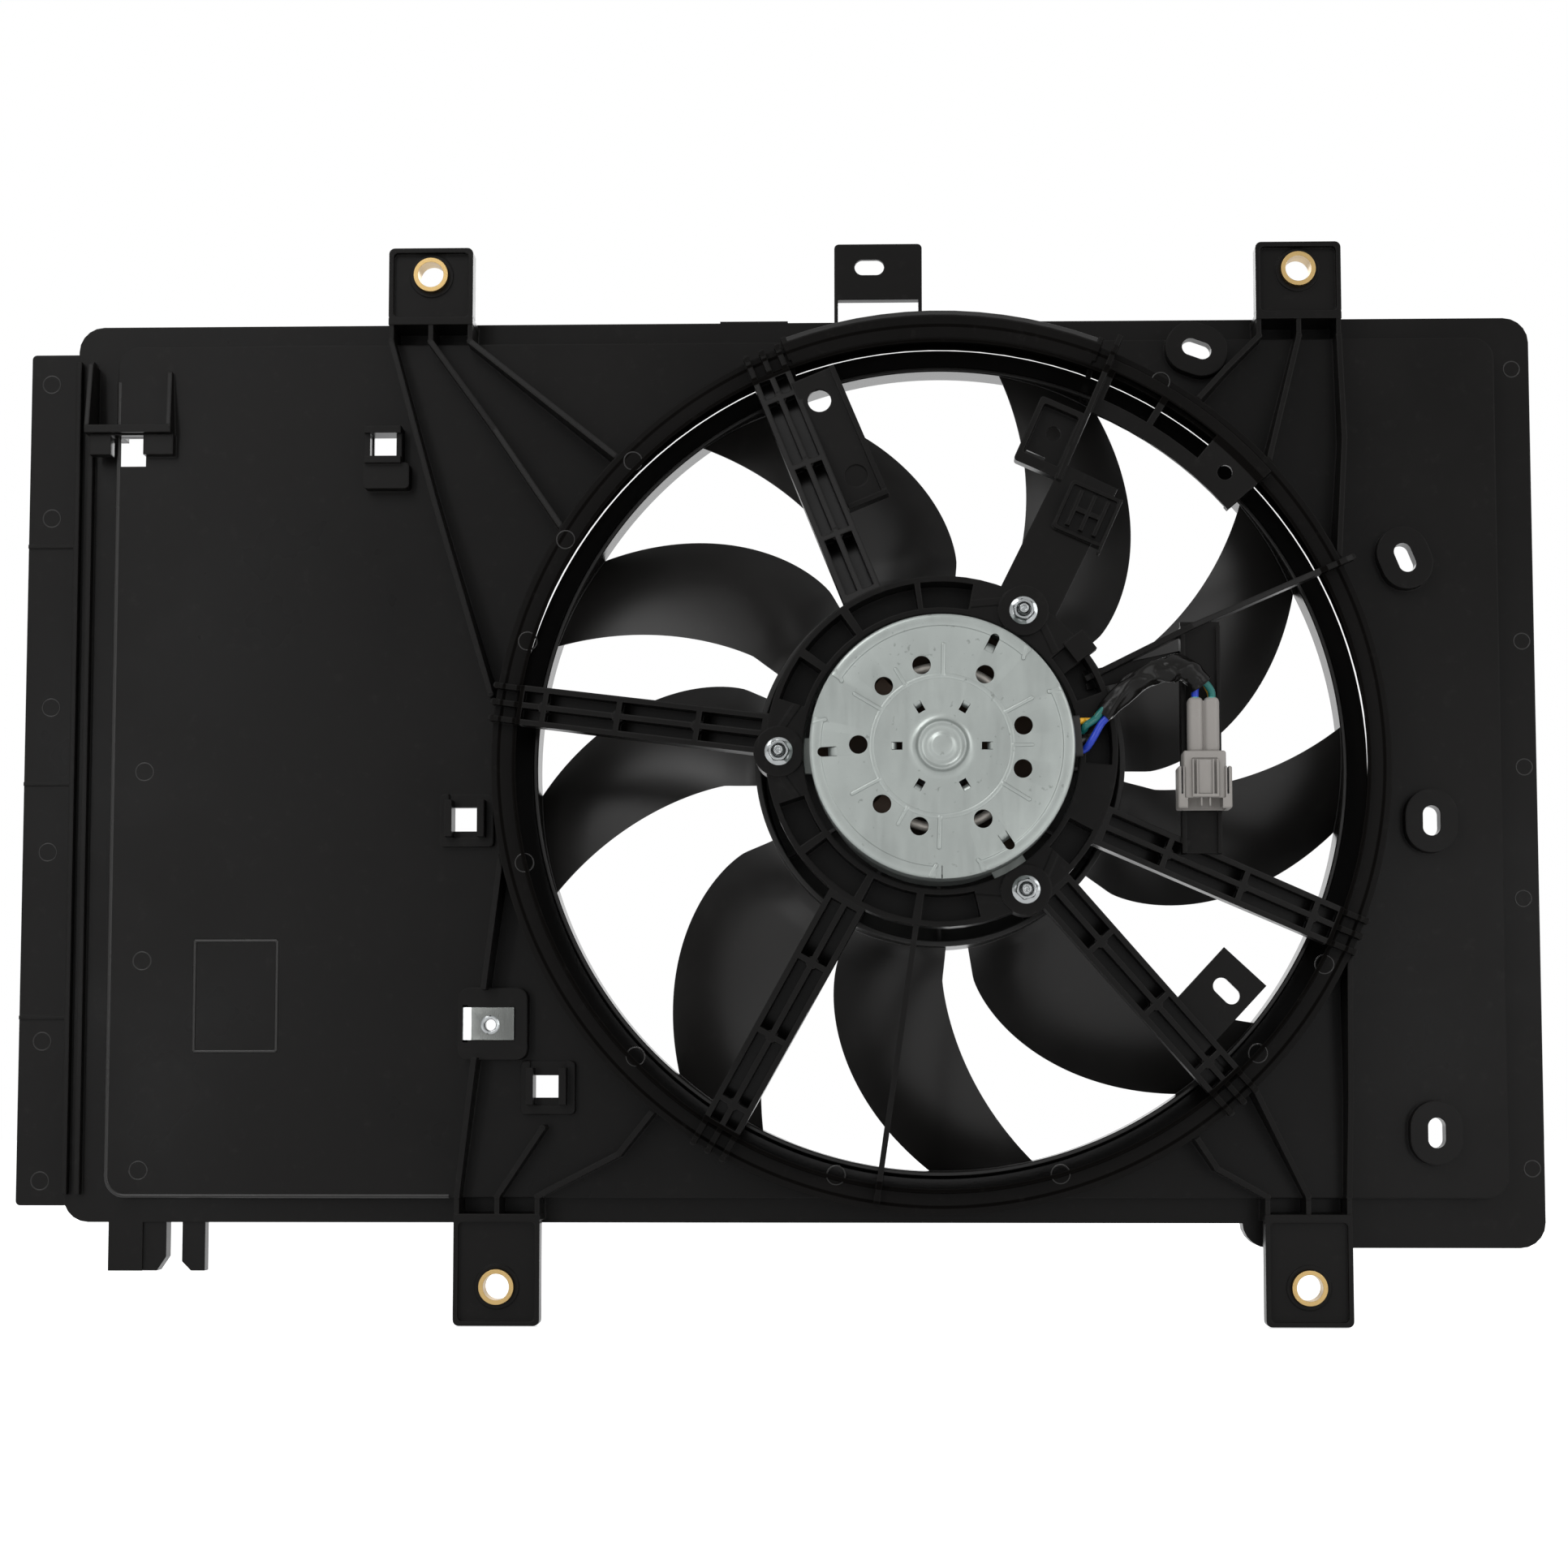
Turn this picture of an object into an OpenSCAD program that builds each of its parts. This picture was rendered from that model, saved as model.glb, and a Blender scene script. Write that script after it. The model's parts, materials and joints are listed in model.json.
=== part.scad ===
// Radiator cooling fan: moulded shroud, nine-blade fan, brushed motor and short lead.
// The origin is on the fan axis in the plane of the shroud's radiator-side rim.
// +X is to the right seen from the engine side, +Y points to the radiator, +Z is up.
// A height h is measured from the rim plane towards the engine, along -Y.

/* [Shroud panel] */
// Panel edge left of the fan axis
panel_left = 382; // [360:1:400]
// Panel edge right of the fan axis
panel_right = 260; // [250:1:280]
// Panel edge above the fan axis
panel_top = 199; // [197:1:215]
// Panel edge below the fan axis
panel_bottom = 197; // [196:1:202]
// How far the deeper right part of the panel reaches below the rest
deep_drop = 10.5; // [6:0.5:20]
// Left end of the deeper part
deep_x = 130; // [110:1:150]
// Corner radius of the panel
corner_r = 11; // [6:1:16]
// Wall thickness of the moulding
wall = 2.5; // [2:0.1:3.2]
// Height of the border round the panel
border_h = 14; // [10:1:16]
// Height of the raised field
plateau_h = 24; // [20:1:28]
// Border width at the left
inset_left = 20; // [16:1:24]
// Border width at the right
inset_right = 17; // [12:1:22]
// Border width at the top and bottom
inset_v = 11; // [8:0.5:14]
// Width of the seal strip along the left edge
strip_w = 22; // [16:1:28]
// Height of the seal strip's face
strip_h = 10; // [7:0.5:12]

/* [Mounting tabs] */
// Width of a mounting tab
tab_w = 37; // [32:1:42]
// Height of a tab's border
tab_h = 36; // [32:1:40]
// Height of the upper bushes' axes above the fan axis
bush_top_z = 216.5; // [212:0.5:224]
// Distance of the lower bushes' axes below the fan axis
bush_low_z = 223.5; // [219:0.5:230]
// Upper left bush, left of the fan axis
bush_tl_x = 222; // [212:1:235]
// Upper right bush, right of the fan axis
bush_tr_x = 157; // [150:1:165]
// Lower left bush, left of the fan axis
bush_bl_x = 190; // [182:1:200]
// Lower right bush, right of the fan axis
bush_br_x = 156; // [150:1:165]
// Outer radius of a bush
bush_r = 7.5; // [6.5:0.1:9]
// Bore radius of a bush
bush_bore_r = 5.6; // [4:0.1:6]
// Length of a bush
bush_len = 11; // [9:0.5:14]

/* [Fan ring and arms] */
// Inner radius of the ring behind the fan's flange
barrel_r = 189.2; // [188:0.2:190]
// How far the lip on the engine side stands in from the ring's wall
lip_in = 7.7; // [5:0.1:9]
// How far the ring's flange stands out past the inside of its wall
flange_out = 3.1; // [2.6:0.1:6]
// Height of the ring's flange
ring_h = 50; // [47:1:54]
// How far the lip stands above the flange
lip_stand = 3; // [2:0.5:4]
// Width of an arm
arm_w = 17; // [14:0.5:20]
// Thickness of the ribs of the arms and of the carrier
rib_t = 2.4; // [1.6:0.1:2.6]
// Height of the motor carrier's nut seats
carrier_h = 98; // [94:1:102]
// Outer radius of the carrier ring
carrier_r = 73; // [70:0.5:76]
// Depth of the carrier ring
carrier_depth = 20; // [16:1:24]

/* [Fan] */
// Hub radius
hub_r = 79; // [76:0.5:80]
// Hub depth
hub_depth = 44; // [38:1:46]
// Gap between the band's flange and the ring
tip_gap = 1.4; // [1:0.1:3]
// How far the band's flange stands out from the inside of the band
band_out = 13; // [10:0.2:15]
// Width of the band
band_w = 19; // [15:1:22]
// Height of the fan's radiator-side face
fan_h0 = 4; // [3:0.5:8]
// Blade thickness
blade_t = 2.6; // [2:0.1:3.4]
// Axial depth of a blade at the hub
root_depth = 34; // [26:1:36]

/* [Motor] */
// Radius of the motor's end cap
cap_r = 54.4; // [52:0.2:55]
// Height of the cap's face
cap_h = 116; // [112:1:120]
// Height of the motor's fan-side face
motor_h0 = 34; // [30:1:38]
// Sheet thickness of the can and the cap
sheet_t = 1.6; // [1.2:0.1:2]
// Radius of the motor shaft
shaft_r = 4; // [3:0.5:5]
// Radius of the circle of the three mounting studs
stud_circle_r = 67.3; // [65:0.1:69]
// Radius of a mounting stud
stud_r = 2.5; // [2:0.1:3]
// Across-flats width of a mounting nut
nut_af = 8; // [7:0.5:10]
// Radius of the rotor's laminations
core_r = 42; // [38:0.5:43]
// Air gap between laminations and magnets
air_gap = 1; // [0.6:0.1:1.4]
// Radius of the commutator
comm_r = 13; // [11:0.5:15]
// Length of a brush
brush_len = 14; // [10:1:16]
// Brush travel
brush_travel = 3; // [2:0.5:4]

/* [Lead] */
// Radius of one insulated wire
wire_r = 1.5; // [1.2:0.1:1.8]
// Width of the connector's housing
conn_w = 17; // [15:0.5:20]
// Depth of the connector's housing
conn_d = 13; // [11:0.5:15]

/* [Hidden] */
$fn = 96;
FINE = 32;
eps = 0.01;
fit = 0.05;
gap = 0.3;

// Derived sizes of the shroud
plateau_x0 = -panel_left + inset_left;
plateau_x1 = panel_right - inset_right;
plateau_z0 = -panel_bottom + inset_v;
plateau_z1 = panel_top - inset_v;
plateau_r = corner_r - 2;
lip_h = ring_h + lip_stand;
lip_r = barrel_r - lip_in;
flange_r = barrel_r + flange_out;
band_flange_r = barrel_r - tip_gap;
band_r = band_flange_r - band_out;
// A height between the ring's flange and the carrier's top
function mid_h(t) = ring_h + (carrier_h - ring_h)*t;
BUSHES = [[-bush_tl_x, bush_top_z], [bush_tr_x, bush_top_z],
  [-bush_bl_x, -bush_low_z], [bush_br_x, -bush_low_z]];
TAB_UP = 12;
TAB_DOWN = 16.5;
bush_h0 = tab_h - bush_len + 1;

// Arms: angle at the carrier and angle at the ring, anticlockwise from +X
ARMS = [[116.6, 113.4], [174.3, 172.3], [237.5, 239.1], [308.9, 311.2], [334.8, 336.9]];
arm_r1 = flange_r + 0.8;
arm_drop = carrier_h - 2;
arm_end_h = lip_h + 4;
arm_depth0 = 14;
arm_floor = 2.5;

// Carrier ring and the three studs
carrier_in_r = cap_r + 3;
carrier_h0 = carrier_h - carrier_depth;
STUD_ANGLES = [59.5, 180.3, 300.9];
lobe_r = 10.5;

// Blade centres measured round the hub, an uneven pitch that breaks up the tone
BLADE_ANGLES = [28, 68, 113, 149, 185, 231, 270, 307.5, 352.5];
blade_r0 = hub_r - 1.4;
blade_r1 = band_r + 1;
BLADE_RINGS = 11;
BLADE_CHORD = 6;

// Motor
can_r = cap_r - sheet_t - 0.1;
can_h1 = cap_h - 6;
bearing_w = 7;
bearing_r0 = shaft_r + 2;
bearing_r1 = shaft_r + 7;
ball_mid_r = (bearing_r0 + bearing_r1)/2;
ball_r = 1.9;
front_bearing_h = motor_h0 - 6 + sheet_t;
cap_in_h = cap_h - sheet_t - 0.6;
rear_bearing_h = cap_in_h - bearing_w - 0.1;
magnet_r1 = can_r - sheet_t;
magnet_r0 = core_r + air_gap;
core_h0 = motor_h0 + 18;
core_h1 = cap_h - 24;
comm_h0 = core_h1 + 4;
comm_h1 = rear_bearing_h - 1;
card_h = comm_h0 + 1;
brush_w = 5;
brush_h = 6;
brush_mid_h = card_h + 2 + brush_h/2;
brush_in = comm_r + gap;
holder_len = brush_len + brush_travel + 8;

// Hub centre
dish_h = fan_h0 + 8;
insert_h0 = dish_h;
insert_h1 = front_bearing_h - 2;
insert_r = shaft_r + 4;
washer_t = 1.2;
nut_t = 5;

// Rail and connector on the right of the carrier
rail_x0 = 100;
rail_x1 = 116.5;
rail_h = carrier_h - 18;
conn_x = 108.3;
conn_top = 21;
conn_split = -0.5;
conn_flare = -7.5;
conn_end = -24.5;
conn_h0 = rail_h + wall + 3;
conn_h = conn_h0 + conn_d/2;

// Helpers
// A flat outline drawn in X and Z, as thick as h0 to h1
module out(h0, h1) {
  translate([0, -h0, 0]) rotate([90, 0, 0]) linear_extrude(h1 - h0) children();
}

// A profile of radius and height turned round the fan axis
module turned(angle = 360, from = 0) {
  rotate([90, 0, 0]) rotate([0, 0, from]) rotate_extrude(angle = angle) children();
}

// A round bar along the fan axis
module bar(r, h0, h1, x = 0, z = 0) {
  translate([x, -h0, z]) rotate([90, 0, 0]) cylinder(r = r, h = h1 - h0);
}

// A rectangle with round corners from one corner to the other
CORNER_STEPS = 5;
function corner(x, z, r, a) = [for (i = [0:CORNER_STEPS]) let(t = a + 90*i/CORNER_STEPS)
  [x + r*cos(t), z + r*sin(t)]];
module rrect(x0, z0, x1, z1, r) {
  polygon(concat(corner(x1 - r, z1 - r, r, 0), corner(x0 + r, z1 - r, r, 90),
    corner(x0 + r, z0 + r, r, 180), corner(x1 - r, z0 + r, r, 270)));
}

// A slot of length l and width w, its long way turned by angle a
module slot(x, z, l, w, a) {
  translate([x, z]) rotate(a) {
    square([l - w, w - 2*eps], center = true);
    for (s = [-1, 1]) translate([s*(l - w)/2, 0]) circle(w/2);
  }
}

// An upright plate from p to q, its foot and crest heights given at both ends
module fin(p, q, lo_p, lo_q, hi_p, hi_q, t) {
  length = norm(q - p);
  translate([p[0], 0, p[1]]) rotate([0, -atan2(q[1] - p[1], q[0] - p[0]), 0])
    linear_extrude(t, center = true)
      polygon([[0, -lo_p], [0, -hi_p], [length, -hi_q], [length, -lo_q]]);
}

// Fins one after the other along points that each hold X, Z and crest height
module fin_line(pts, lo, t) {
  for (i = [0:len(pts) - 2])
    fin([pts[i][0], pts[i][1]], [pts[i + 1][0], pts[i + 1][1]], lo, lo, pts[i][2], pts[i + 1][2], t);
  for (p = pts) bar(t/2 + 0.15, lo, p[2] - 0.2, p[0], p[1]);
}

function polar(r, a) = [r*cos(a), r*sin(a)];

// Shroud panel outlines
module panel_outline(d = 0) {
  rrect(-panel_left + d, -panel_bottom + d, panel_right - d, panel_top - d, corner_r - d);
  rrect(deep_x + d, -panel_bottom - deep_drop + d, panel_right - d, 0, corner_r - d);
}

module plateau_outline(d = 0) {
  rrect(plateau_x0 + d, plateau_z0 + d, plateau_x1 - d, plateau_z1 - d, plateau_r - d);
}

// One mounting tab: a tray round its bush, up is 1 above the panel and -1 below it
module tab_body(c, up) {
  edge = up > 0 ? TAB_UP : TAB_DOWN;
  root = up > 0 ? panel_top - 3 : -panel_bottom + 3;
  z0 = min(up*(abs(c[1]) + edge), root);
  z1 = max(up*(abs(c[1]) + edge), root);
  difference() {
    out(tab_h - 10, tab_h) rrect(c[0] - tab_w/2, z0, c[0] + tab_w/2, z1, 2.5);
    out(tab_h - 3, tab_h + 1)
      rrect(c[0] - tab_w/2 + 2, z0 + 2, c[0] + tab_w/2 - 2, z1 - 2, 2);
    out(tab_h - 11, tab_h - 7.5)
      rrect(c[0] - tab_w/2 + 2, z0 + 2, c[0] + tab_w/2 - 2, z1 - 2, 2);
  }
  bar(bush_r + 2, tab_h - 10, tab_h - 2, c[0], c[1]);
  fin([c[0] - tab_w/2, root], [c[0] + tab_w/2, root], border_h - 1, border_h - 1,
    tab_h, tab_h, 3);
}

// Three ribs that spread from each tab over the panel to the ring
module tab_ribs() {
  tz = plateau_z1 - 1;
  bz = plateau_z0 + 1;
  hw = tab_w/2 - 1.2;
  ring_top = ring_h - 2;
  TL = BUSHES[0];
  TR = BUSHES[1];
  BL = BUSHES[2];
  BR = BUSHES[3];
  RIBS = [
    [[TL[0] - hw, tz, tab_h], [-219, 115, 41], [-193, 30, ring_top]],
    [[TL[0], tz, tab_h], [-193, 147, 40], [-162.5, 102, ring_top]],
    [[TL[0] + hw, tz, tab_h], [-139, 133, ring_top]],
    [[TR[0] - hw, tz, tab_h], [125, 172, 40], [112, 157, ring_top]],
    [[TR[0], tz, tab_h], [142, 130, ring_top]],
    [[TR[0] + hw, tz, tab_h], [175.5, 141, 40], [171.5, 88, ring_top]],
    [[BL[0] - hw, bz, tab_h], [-200.5, -131, 40], [-188, -40, ring_top]],
    [[BL[0], bz, tab_h], [-170.5, -156, 38]],
    [[BL[0] + hw, bz, tab_h], [-137.5, -167, 42], [-122, -148, ring_top]],
    [[BR[0] - hw, bz, tab_h], [117, -173, 42], [108, -160, ring_top]],
    [[BR[0], bz, tab_h], [133, -140, ring_top]],
    [[BR[0] + hw, bz, tab_h], [174, -145, 40], [173.5, -84, ring_top]]];
  for (rib = RIBS) fin_line(rib, plateau_h - wall + 0.5, rib_t);
  // Their short roots on the border, up to the tab's wall
  for (i = [0:3], s = [-hw, 0, hw]) {
    up = i < 2 ? 1 : -1;
    root = up*(i < 2 ? panel_top - 2.4 : panel_bottom - 2.4);
    fin([BUSHES[i][0] + s, root], [BUSHES[i][0] + s, (i < 2 ? tz : bz) - up*0.4], border_h - 1,
      border_h - 1, tab_h - 0.6, tab_h - 0.6, rib_t - 0.3);
  }
}

// Seal strip along the left edge with its cross ribs, and the double wall beside it
STRIP_TOP = 11.5;
STRIP_RIBS = [101, -5, -108];
module seal_strip() {
  x1 = -panel_left + 1;
  x0 = -panel_left - strip_w;
  z0 = -panel_bottom + 7;
  z1 = panel_top - STRIP_TOP;
  out(strip_h - wall, strip_h) rrect(x0, z0, x1, z1, 2);
  fin([x0 + 0.8, z0 + 2], [x0 + 0.8, z1 - 2], strip_h - 6, strip_h - 6, strip_h, strip_h, 1.6);
  for (z = STRIP_RIBS) fin([x0, z], [x1, z], strip_h - 1, strip_h - 1, strip_h + 1, strip_h + 1, 1.6);
  for (x = [1.2, 6.8])
    fin([-panel_left + x, z0 + 5], [-panel_left + x, z1 - 5], border_h - 1, border_h - 1,
      border_h + 5, border_h + 5, 2.2);
}

// Oval boss with a slot through it
BOSS_STAND = 7;
SLOT_L = 13;
SLOT_W = 7.5;
OVALS = [[113, 182.5, -20], [202, 90, -68], [211.5, -24.3, 90], [211.5, -158, 90]];

// Clip windows: centre, hole width and height
WINDOWS = [[-356.3, 140.7, 14.3, 12.8], [-242.8, 141.6, 10.4, 10.2], [-205.5, -22.5, 11, 10.4],
  [-169.4, -138.2, 11, 9.6]];

module window_cuts() {
  for (w = WINDOWS) out(-1, ring_h)
    translate([w[0], w[1]]) square([w[2], w[3]], center = true);
}

module clip_blocks() {
  // Upper left shelf with its two side walls
  w = WINDOWS[0];
  shelf_z = w[1] + w[3]/2 + 2;
  out(plateau_h - 1, 34) translate([-374.5, shelf_z - 1.2]) square([38, 3.4]);
  out(plateau_h - 1, 30) difference() {
    translate([-373, w[1] - 2]) square([37, 9]);
    translate([w[0] - w[2]/2, w[1] - 8]) square([w[2], 14.5]);
  }
  fin([-373.6, 150], [-373.6, 180], border_h - 1, border_h - 1, 34, 27, 2);
  fin([-337.5, 150], [-338.5, 176], plateau_h - 1, plateau_h - 1, 34, 27, 2);
  // Block below the second window, with bars above and below the hole
  v = WINDOWS[1];
  out(plateau_h - 1, plateau_h + 11) {
    translate([v[0] - 8, v[1] + v[3]/2]) square([16, 3.2]);
    translate([v[0] - 8, v[1] - v[3]/2 - 3]) square([16, 3]);
  }
  out(plateau_h - 1, plateau_h + 8) rrect(v[0] - 9, v[1] - 19, v[0] + 11.5, v[1] - 7.5, 2);
  for (s = [-1, 1]) out(plateau_h - 1, plateau_h + 8)
    translate([v[0] + s*7 - 1.2, v[1] - 8]) square([2.4, 14]);
  // Two smaller clips, each with two rails
  for (i = [2, 3]) {
    c = WINDOWS[i];
    difference() {
      out(plateau_h - 1, plateau_h + 4) rrect(c[0] - 11.5, c[1] - 12, c[0] + 12, c[1] + 11, 2);
      out(plateau_h + 2, plateau_h + 5)
        translate([c[0] - 7.5, c[1] - 8]) square([15.5, 22]);
    }
    for (s = [-1, 1]) out(plateau_h - 1, plateau_h + 11)
      translate([c[0] + s*(c[2]/2 + 1.6) - 1.6, c[1] - 8]) square([3.2, 16]);
  }
}

// Raised pad under the clip nut
PAD = [-192.8, -111.3];
PAD_H = plateau_h + 8;
module clip_pad() {
  difference() {
    out(plateau_h - 1, PAD_H) rrect(PAD[0] - 15, PAD[1] - 15.5, PAD[0] + 15, PAD[1] + 15.5, 4.5);
    out(plateau_h - wall - 1, PAD_H - wall)
      rrect(PAD[0] - 12.5, PAD[1] - 13, PAD[0] + 12.5, PAD[1] + 13, 2.5);
    out(PAD_H - wall - 1, PAD_H + 1)
      translate([PAD[0] - 13, PAD[1] - 8]) square([2.2, 16]);
    bar(3.2, 0, PAD_H + 1, PAD[0] - 0.9, PAD[1] - 0.5);
  }
}

// Two hooks under the lower left corner
module foot_hooks() {
  z1 = -panel_bottom + 2;
  out(2, 12) polygon([[-362, z1], [-337, z1], [-337, -212], [-341, -218], [-362, -218]]);
  out(12 - eps, 14) polygon([[-362, z1], [-347, z1], [-347, -218], [-362, -218]]);
  out(4, 12) polygon([[-330, z1], [-320, z1], [-320, -218], [-326, -218], [-330, -214]]);
}

// Slotted tab above the middle of the panel, on two thin legs
TOP_TAB = [-45.3, -6.6, 208.3, 233.3];
module top_tab() {
  h = border_h + 4;
  difference() {
    out(h - wall, h) rrect(TOP_TAB[0], TOP_TAB[2], TOP_TAB[1], TOP_TAB[3], 2);
    out(h - 5, h + 1) slot(-29.8, 222.9, SLOT_L, 7, 0);
  }
  for (x = [TOP_TAB[0] + 0.8, TOP_TAB[1] - 0.8])
    fin([x, panel_top - 2], [x, TOP_TAB[3] - 4], 2, h - 6, h, h, 1.6);
  fin([TOP_TAB[0], TOP_TAB[2] + 0.8], [TOP_TAB[1], TOP_TAB[2] + 0.8], h - 6, h - 6, h, h, 1.6);
  out(border_h - 3, border_h) translate([-96, panel_top - 1]) square([30, 1.8]);
}

// Ring round the fan, with the wider stretch over its top
HUMP_FROM = 69;
HUMP_ANGLE = 41;
module ring_wall() {
  turned() polygon([[barrel_r, 1], [barrel_r, plateau_h], [lip_r + 0.5, ring_h - 2],
    [lip_r, lip_h], [lip_r + 1.6, lip_h], [lip_r + 1.8, ring_h], [flange_r, ring_h],
    [flange_r, ring_h - wall], [lip_r + 4, ring_h - wall],
    [barrel_r + wall, plateau_h], [barrel_r + wall, 1]]);
  turned(HUMP_ANGLE, HUMP_FROM) polygon([[lip_r + 2, ring_h - wall + 0.5], [lip_r + 2, ring_h + 1],
    [flange_r + 1.5, ring_h + 1], [flange_r + 4, ring_h - 2], [flange_r + 4, border_h - 1],
    [flange_r + 4 - wall, border_h - 1], [flange_r + 4 - wall, ring_h - wall + 0.5]]);
  for (a = [HUMP_FROM, HUMP_FROM + HUMP_ANGLE]) rotate([0, -a, 0])
    out(border_h - 1, ring_h + 1) translate([lip_r + 4, -1.2]) square([flange_r - lip_r, 2.4]);
}

// An arm's line: its ends, and the crest and foot heights a share t of the way along it
ARM_CROSS = [0.02, 0.28, 0.6, 0.9, 1];
lane_w = (arm_w - 3*rib_t)/2;
function arm_p(a) = polar(carrier_r - 1, a[0]);
function arm_q(a) = polar(lip_r - 0.6, a[1]);
function arm_crest(t) = arm_drop + (arm_end_h - arm_drop)*t;
function arm_foot(t) = arm_drop - arm_depth0 + (ring_h - 2 - arm_drop + arm_depth0)*t;

// One arm as a sloping bar, with three fingers that reach over the ring's flange
module arm_solid(a) {
  p = arm_p(a);
  q = arm_q(a);
  d = (q - p)/norm(q - p);
  n = [-d[1], d[0]];
  over = 1 + 0.8/norm(q - p);
  fin(p, p + (q - p)*over, arm_foot(0), arm_foot(over), arm_crest(0), arm_crest(over), arm_w);
  for (s = [-1, 0, 1]) {
    o = n*s*((arm_w - rib_t)/2 - 0.2);
    end = q + d*(arm_r1 - lip_r) + o;
    fin(q + o - d*0.4, end, ring_h - 1, ring_h - 1, arm_crest(1) - 0.7, arm_crest(1) - 3, rib_t);
    bar(rib_t/2 + 0.2, ring_h - 1.6, arm_crest(1) - 2.5, end[0], end[1]);
  }
}

// The pockets between its ribs, open towards the engine
module arm_pockets(a) {
  p = arm_p(a);
  q = arm_q(a);
  d = (q - p)/norm(q - p);
  n = [-d[1], d[0]];
  for (i = [0:len(ARM_CROSS) - 2], s = [-1, 1]) {
    t0 = ARM_CROSS[i] + rib_t/2/norm(q - p);
    t1 = ARM_CROSS[i + 1] - rib_t/2/norm(q - p);
    o = n*s*(rib_t + lane_w)/2;
    fin(p + (q - p)*t0 + o, p + (q - p)*t1 + o, arm_foot(t0) + arm_floor,
      arm_foot(t1) + arm_floor, arm_crest(t0) + 3, arm_crest(t1) + 3, lane_w);
  }
}

// Round ejector pads where the cross ribs meet the middle rib
module arm_pads(a) {
  p = arm_p(a);
  q = arm_q(a);
  for (i = [1:len(ARM_CROSS) - 2]) {
    c = p + (q - p)*ARM_CROSS[i];
    bar(2.7, arm_foot(ARM_CROSS[i]) + 1, arm_crest(ARM_CROSS[i]) - 0.8, c[0], c[1]);
  }
}

// Carrier ring round the motor with pockets between its walls, and three lobes for the studs
CARRIER_POCKETS = [[-5, 16], [20, 20], [79, 18], [99, 24], [126, 17], [146, 16], [198, 16],
  [217, 22], [242, 18], [263, 20], [318, 14]];
module carrier_solid() {
  bar(carrier_r, carrier_h0, carrier_h - 2);
  for (a = STUD_ANGLES) {
    c = polar(stud_circle_r, a);
    bar(lobe_r, carrier_h0, carrier_h, c[0], c[1]);
    for (s = [-1, 1]) fin(c + polar(lobe_r - 2, a + s*90), polar(carrier_in_r + 5, a + s*19),
      carrier_h0, carrier_h0, carrier_h - 1.5, carrier_h - 1.5, 3);
  }
}

module carrier_cuts() {
  bar(carrier_in_r, carrier_h0 - 1, cap_h);
  for (k = CARRIER_POCKETS) turned(k[1], k[0]) polygon([[carrier_in_r + rib_t, carrier_h0 + wall],
    [carrier_r - rib_t, carrier_h0 + wall], [carrier_r - rib_t, carrier_h + 1],
    [carrier_in_r + rib_t, carrier_h + 1]]);
  for (a = STUD_ANGLES) {
    c = polar(stud_circle_r, a);
    bar(stud_r + 0.3, carrier_h0 - 1, carrier_h + 1, c[0], c[1]);
  }
}

// Bracket plate beside the first arm, its left edge in the arm's rib
module side_bracket() {
  p = [-54, 165.5];
  q = [-31, 110];
  h = mid_h(0.25);
  width = 19.4;
  edge = polar(width/2 - 1, 22.5);
  difference() {
    union() {
      fin(p, q, h - wall, h + 4 - wall, h, h + 4, width);
      fin(p + edge, q + edge, h - 6, h - 2, h + 2, h + 6, rib_t);
      fin(q - edge*0.97, q + edge*1.15, h - 2.7, h - 2.7, h + 7, h + 7, rib_t);
    }
    bar(5, h - 10, h + 10, -51, 154);
    bar(4.8, h + 2, h + 12, -35.3, 121);
  }
}

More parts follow.
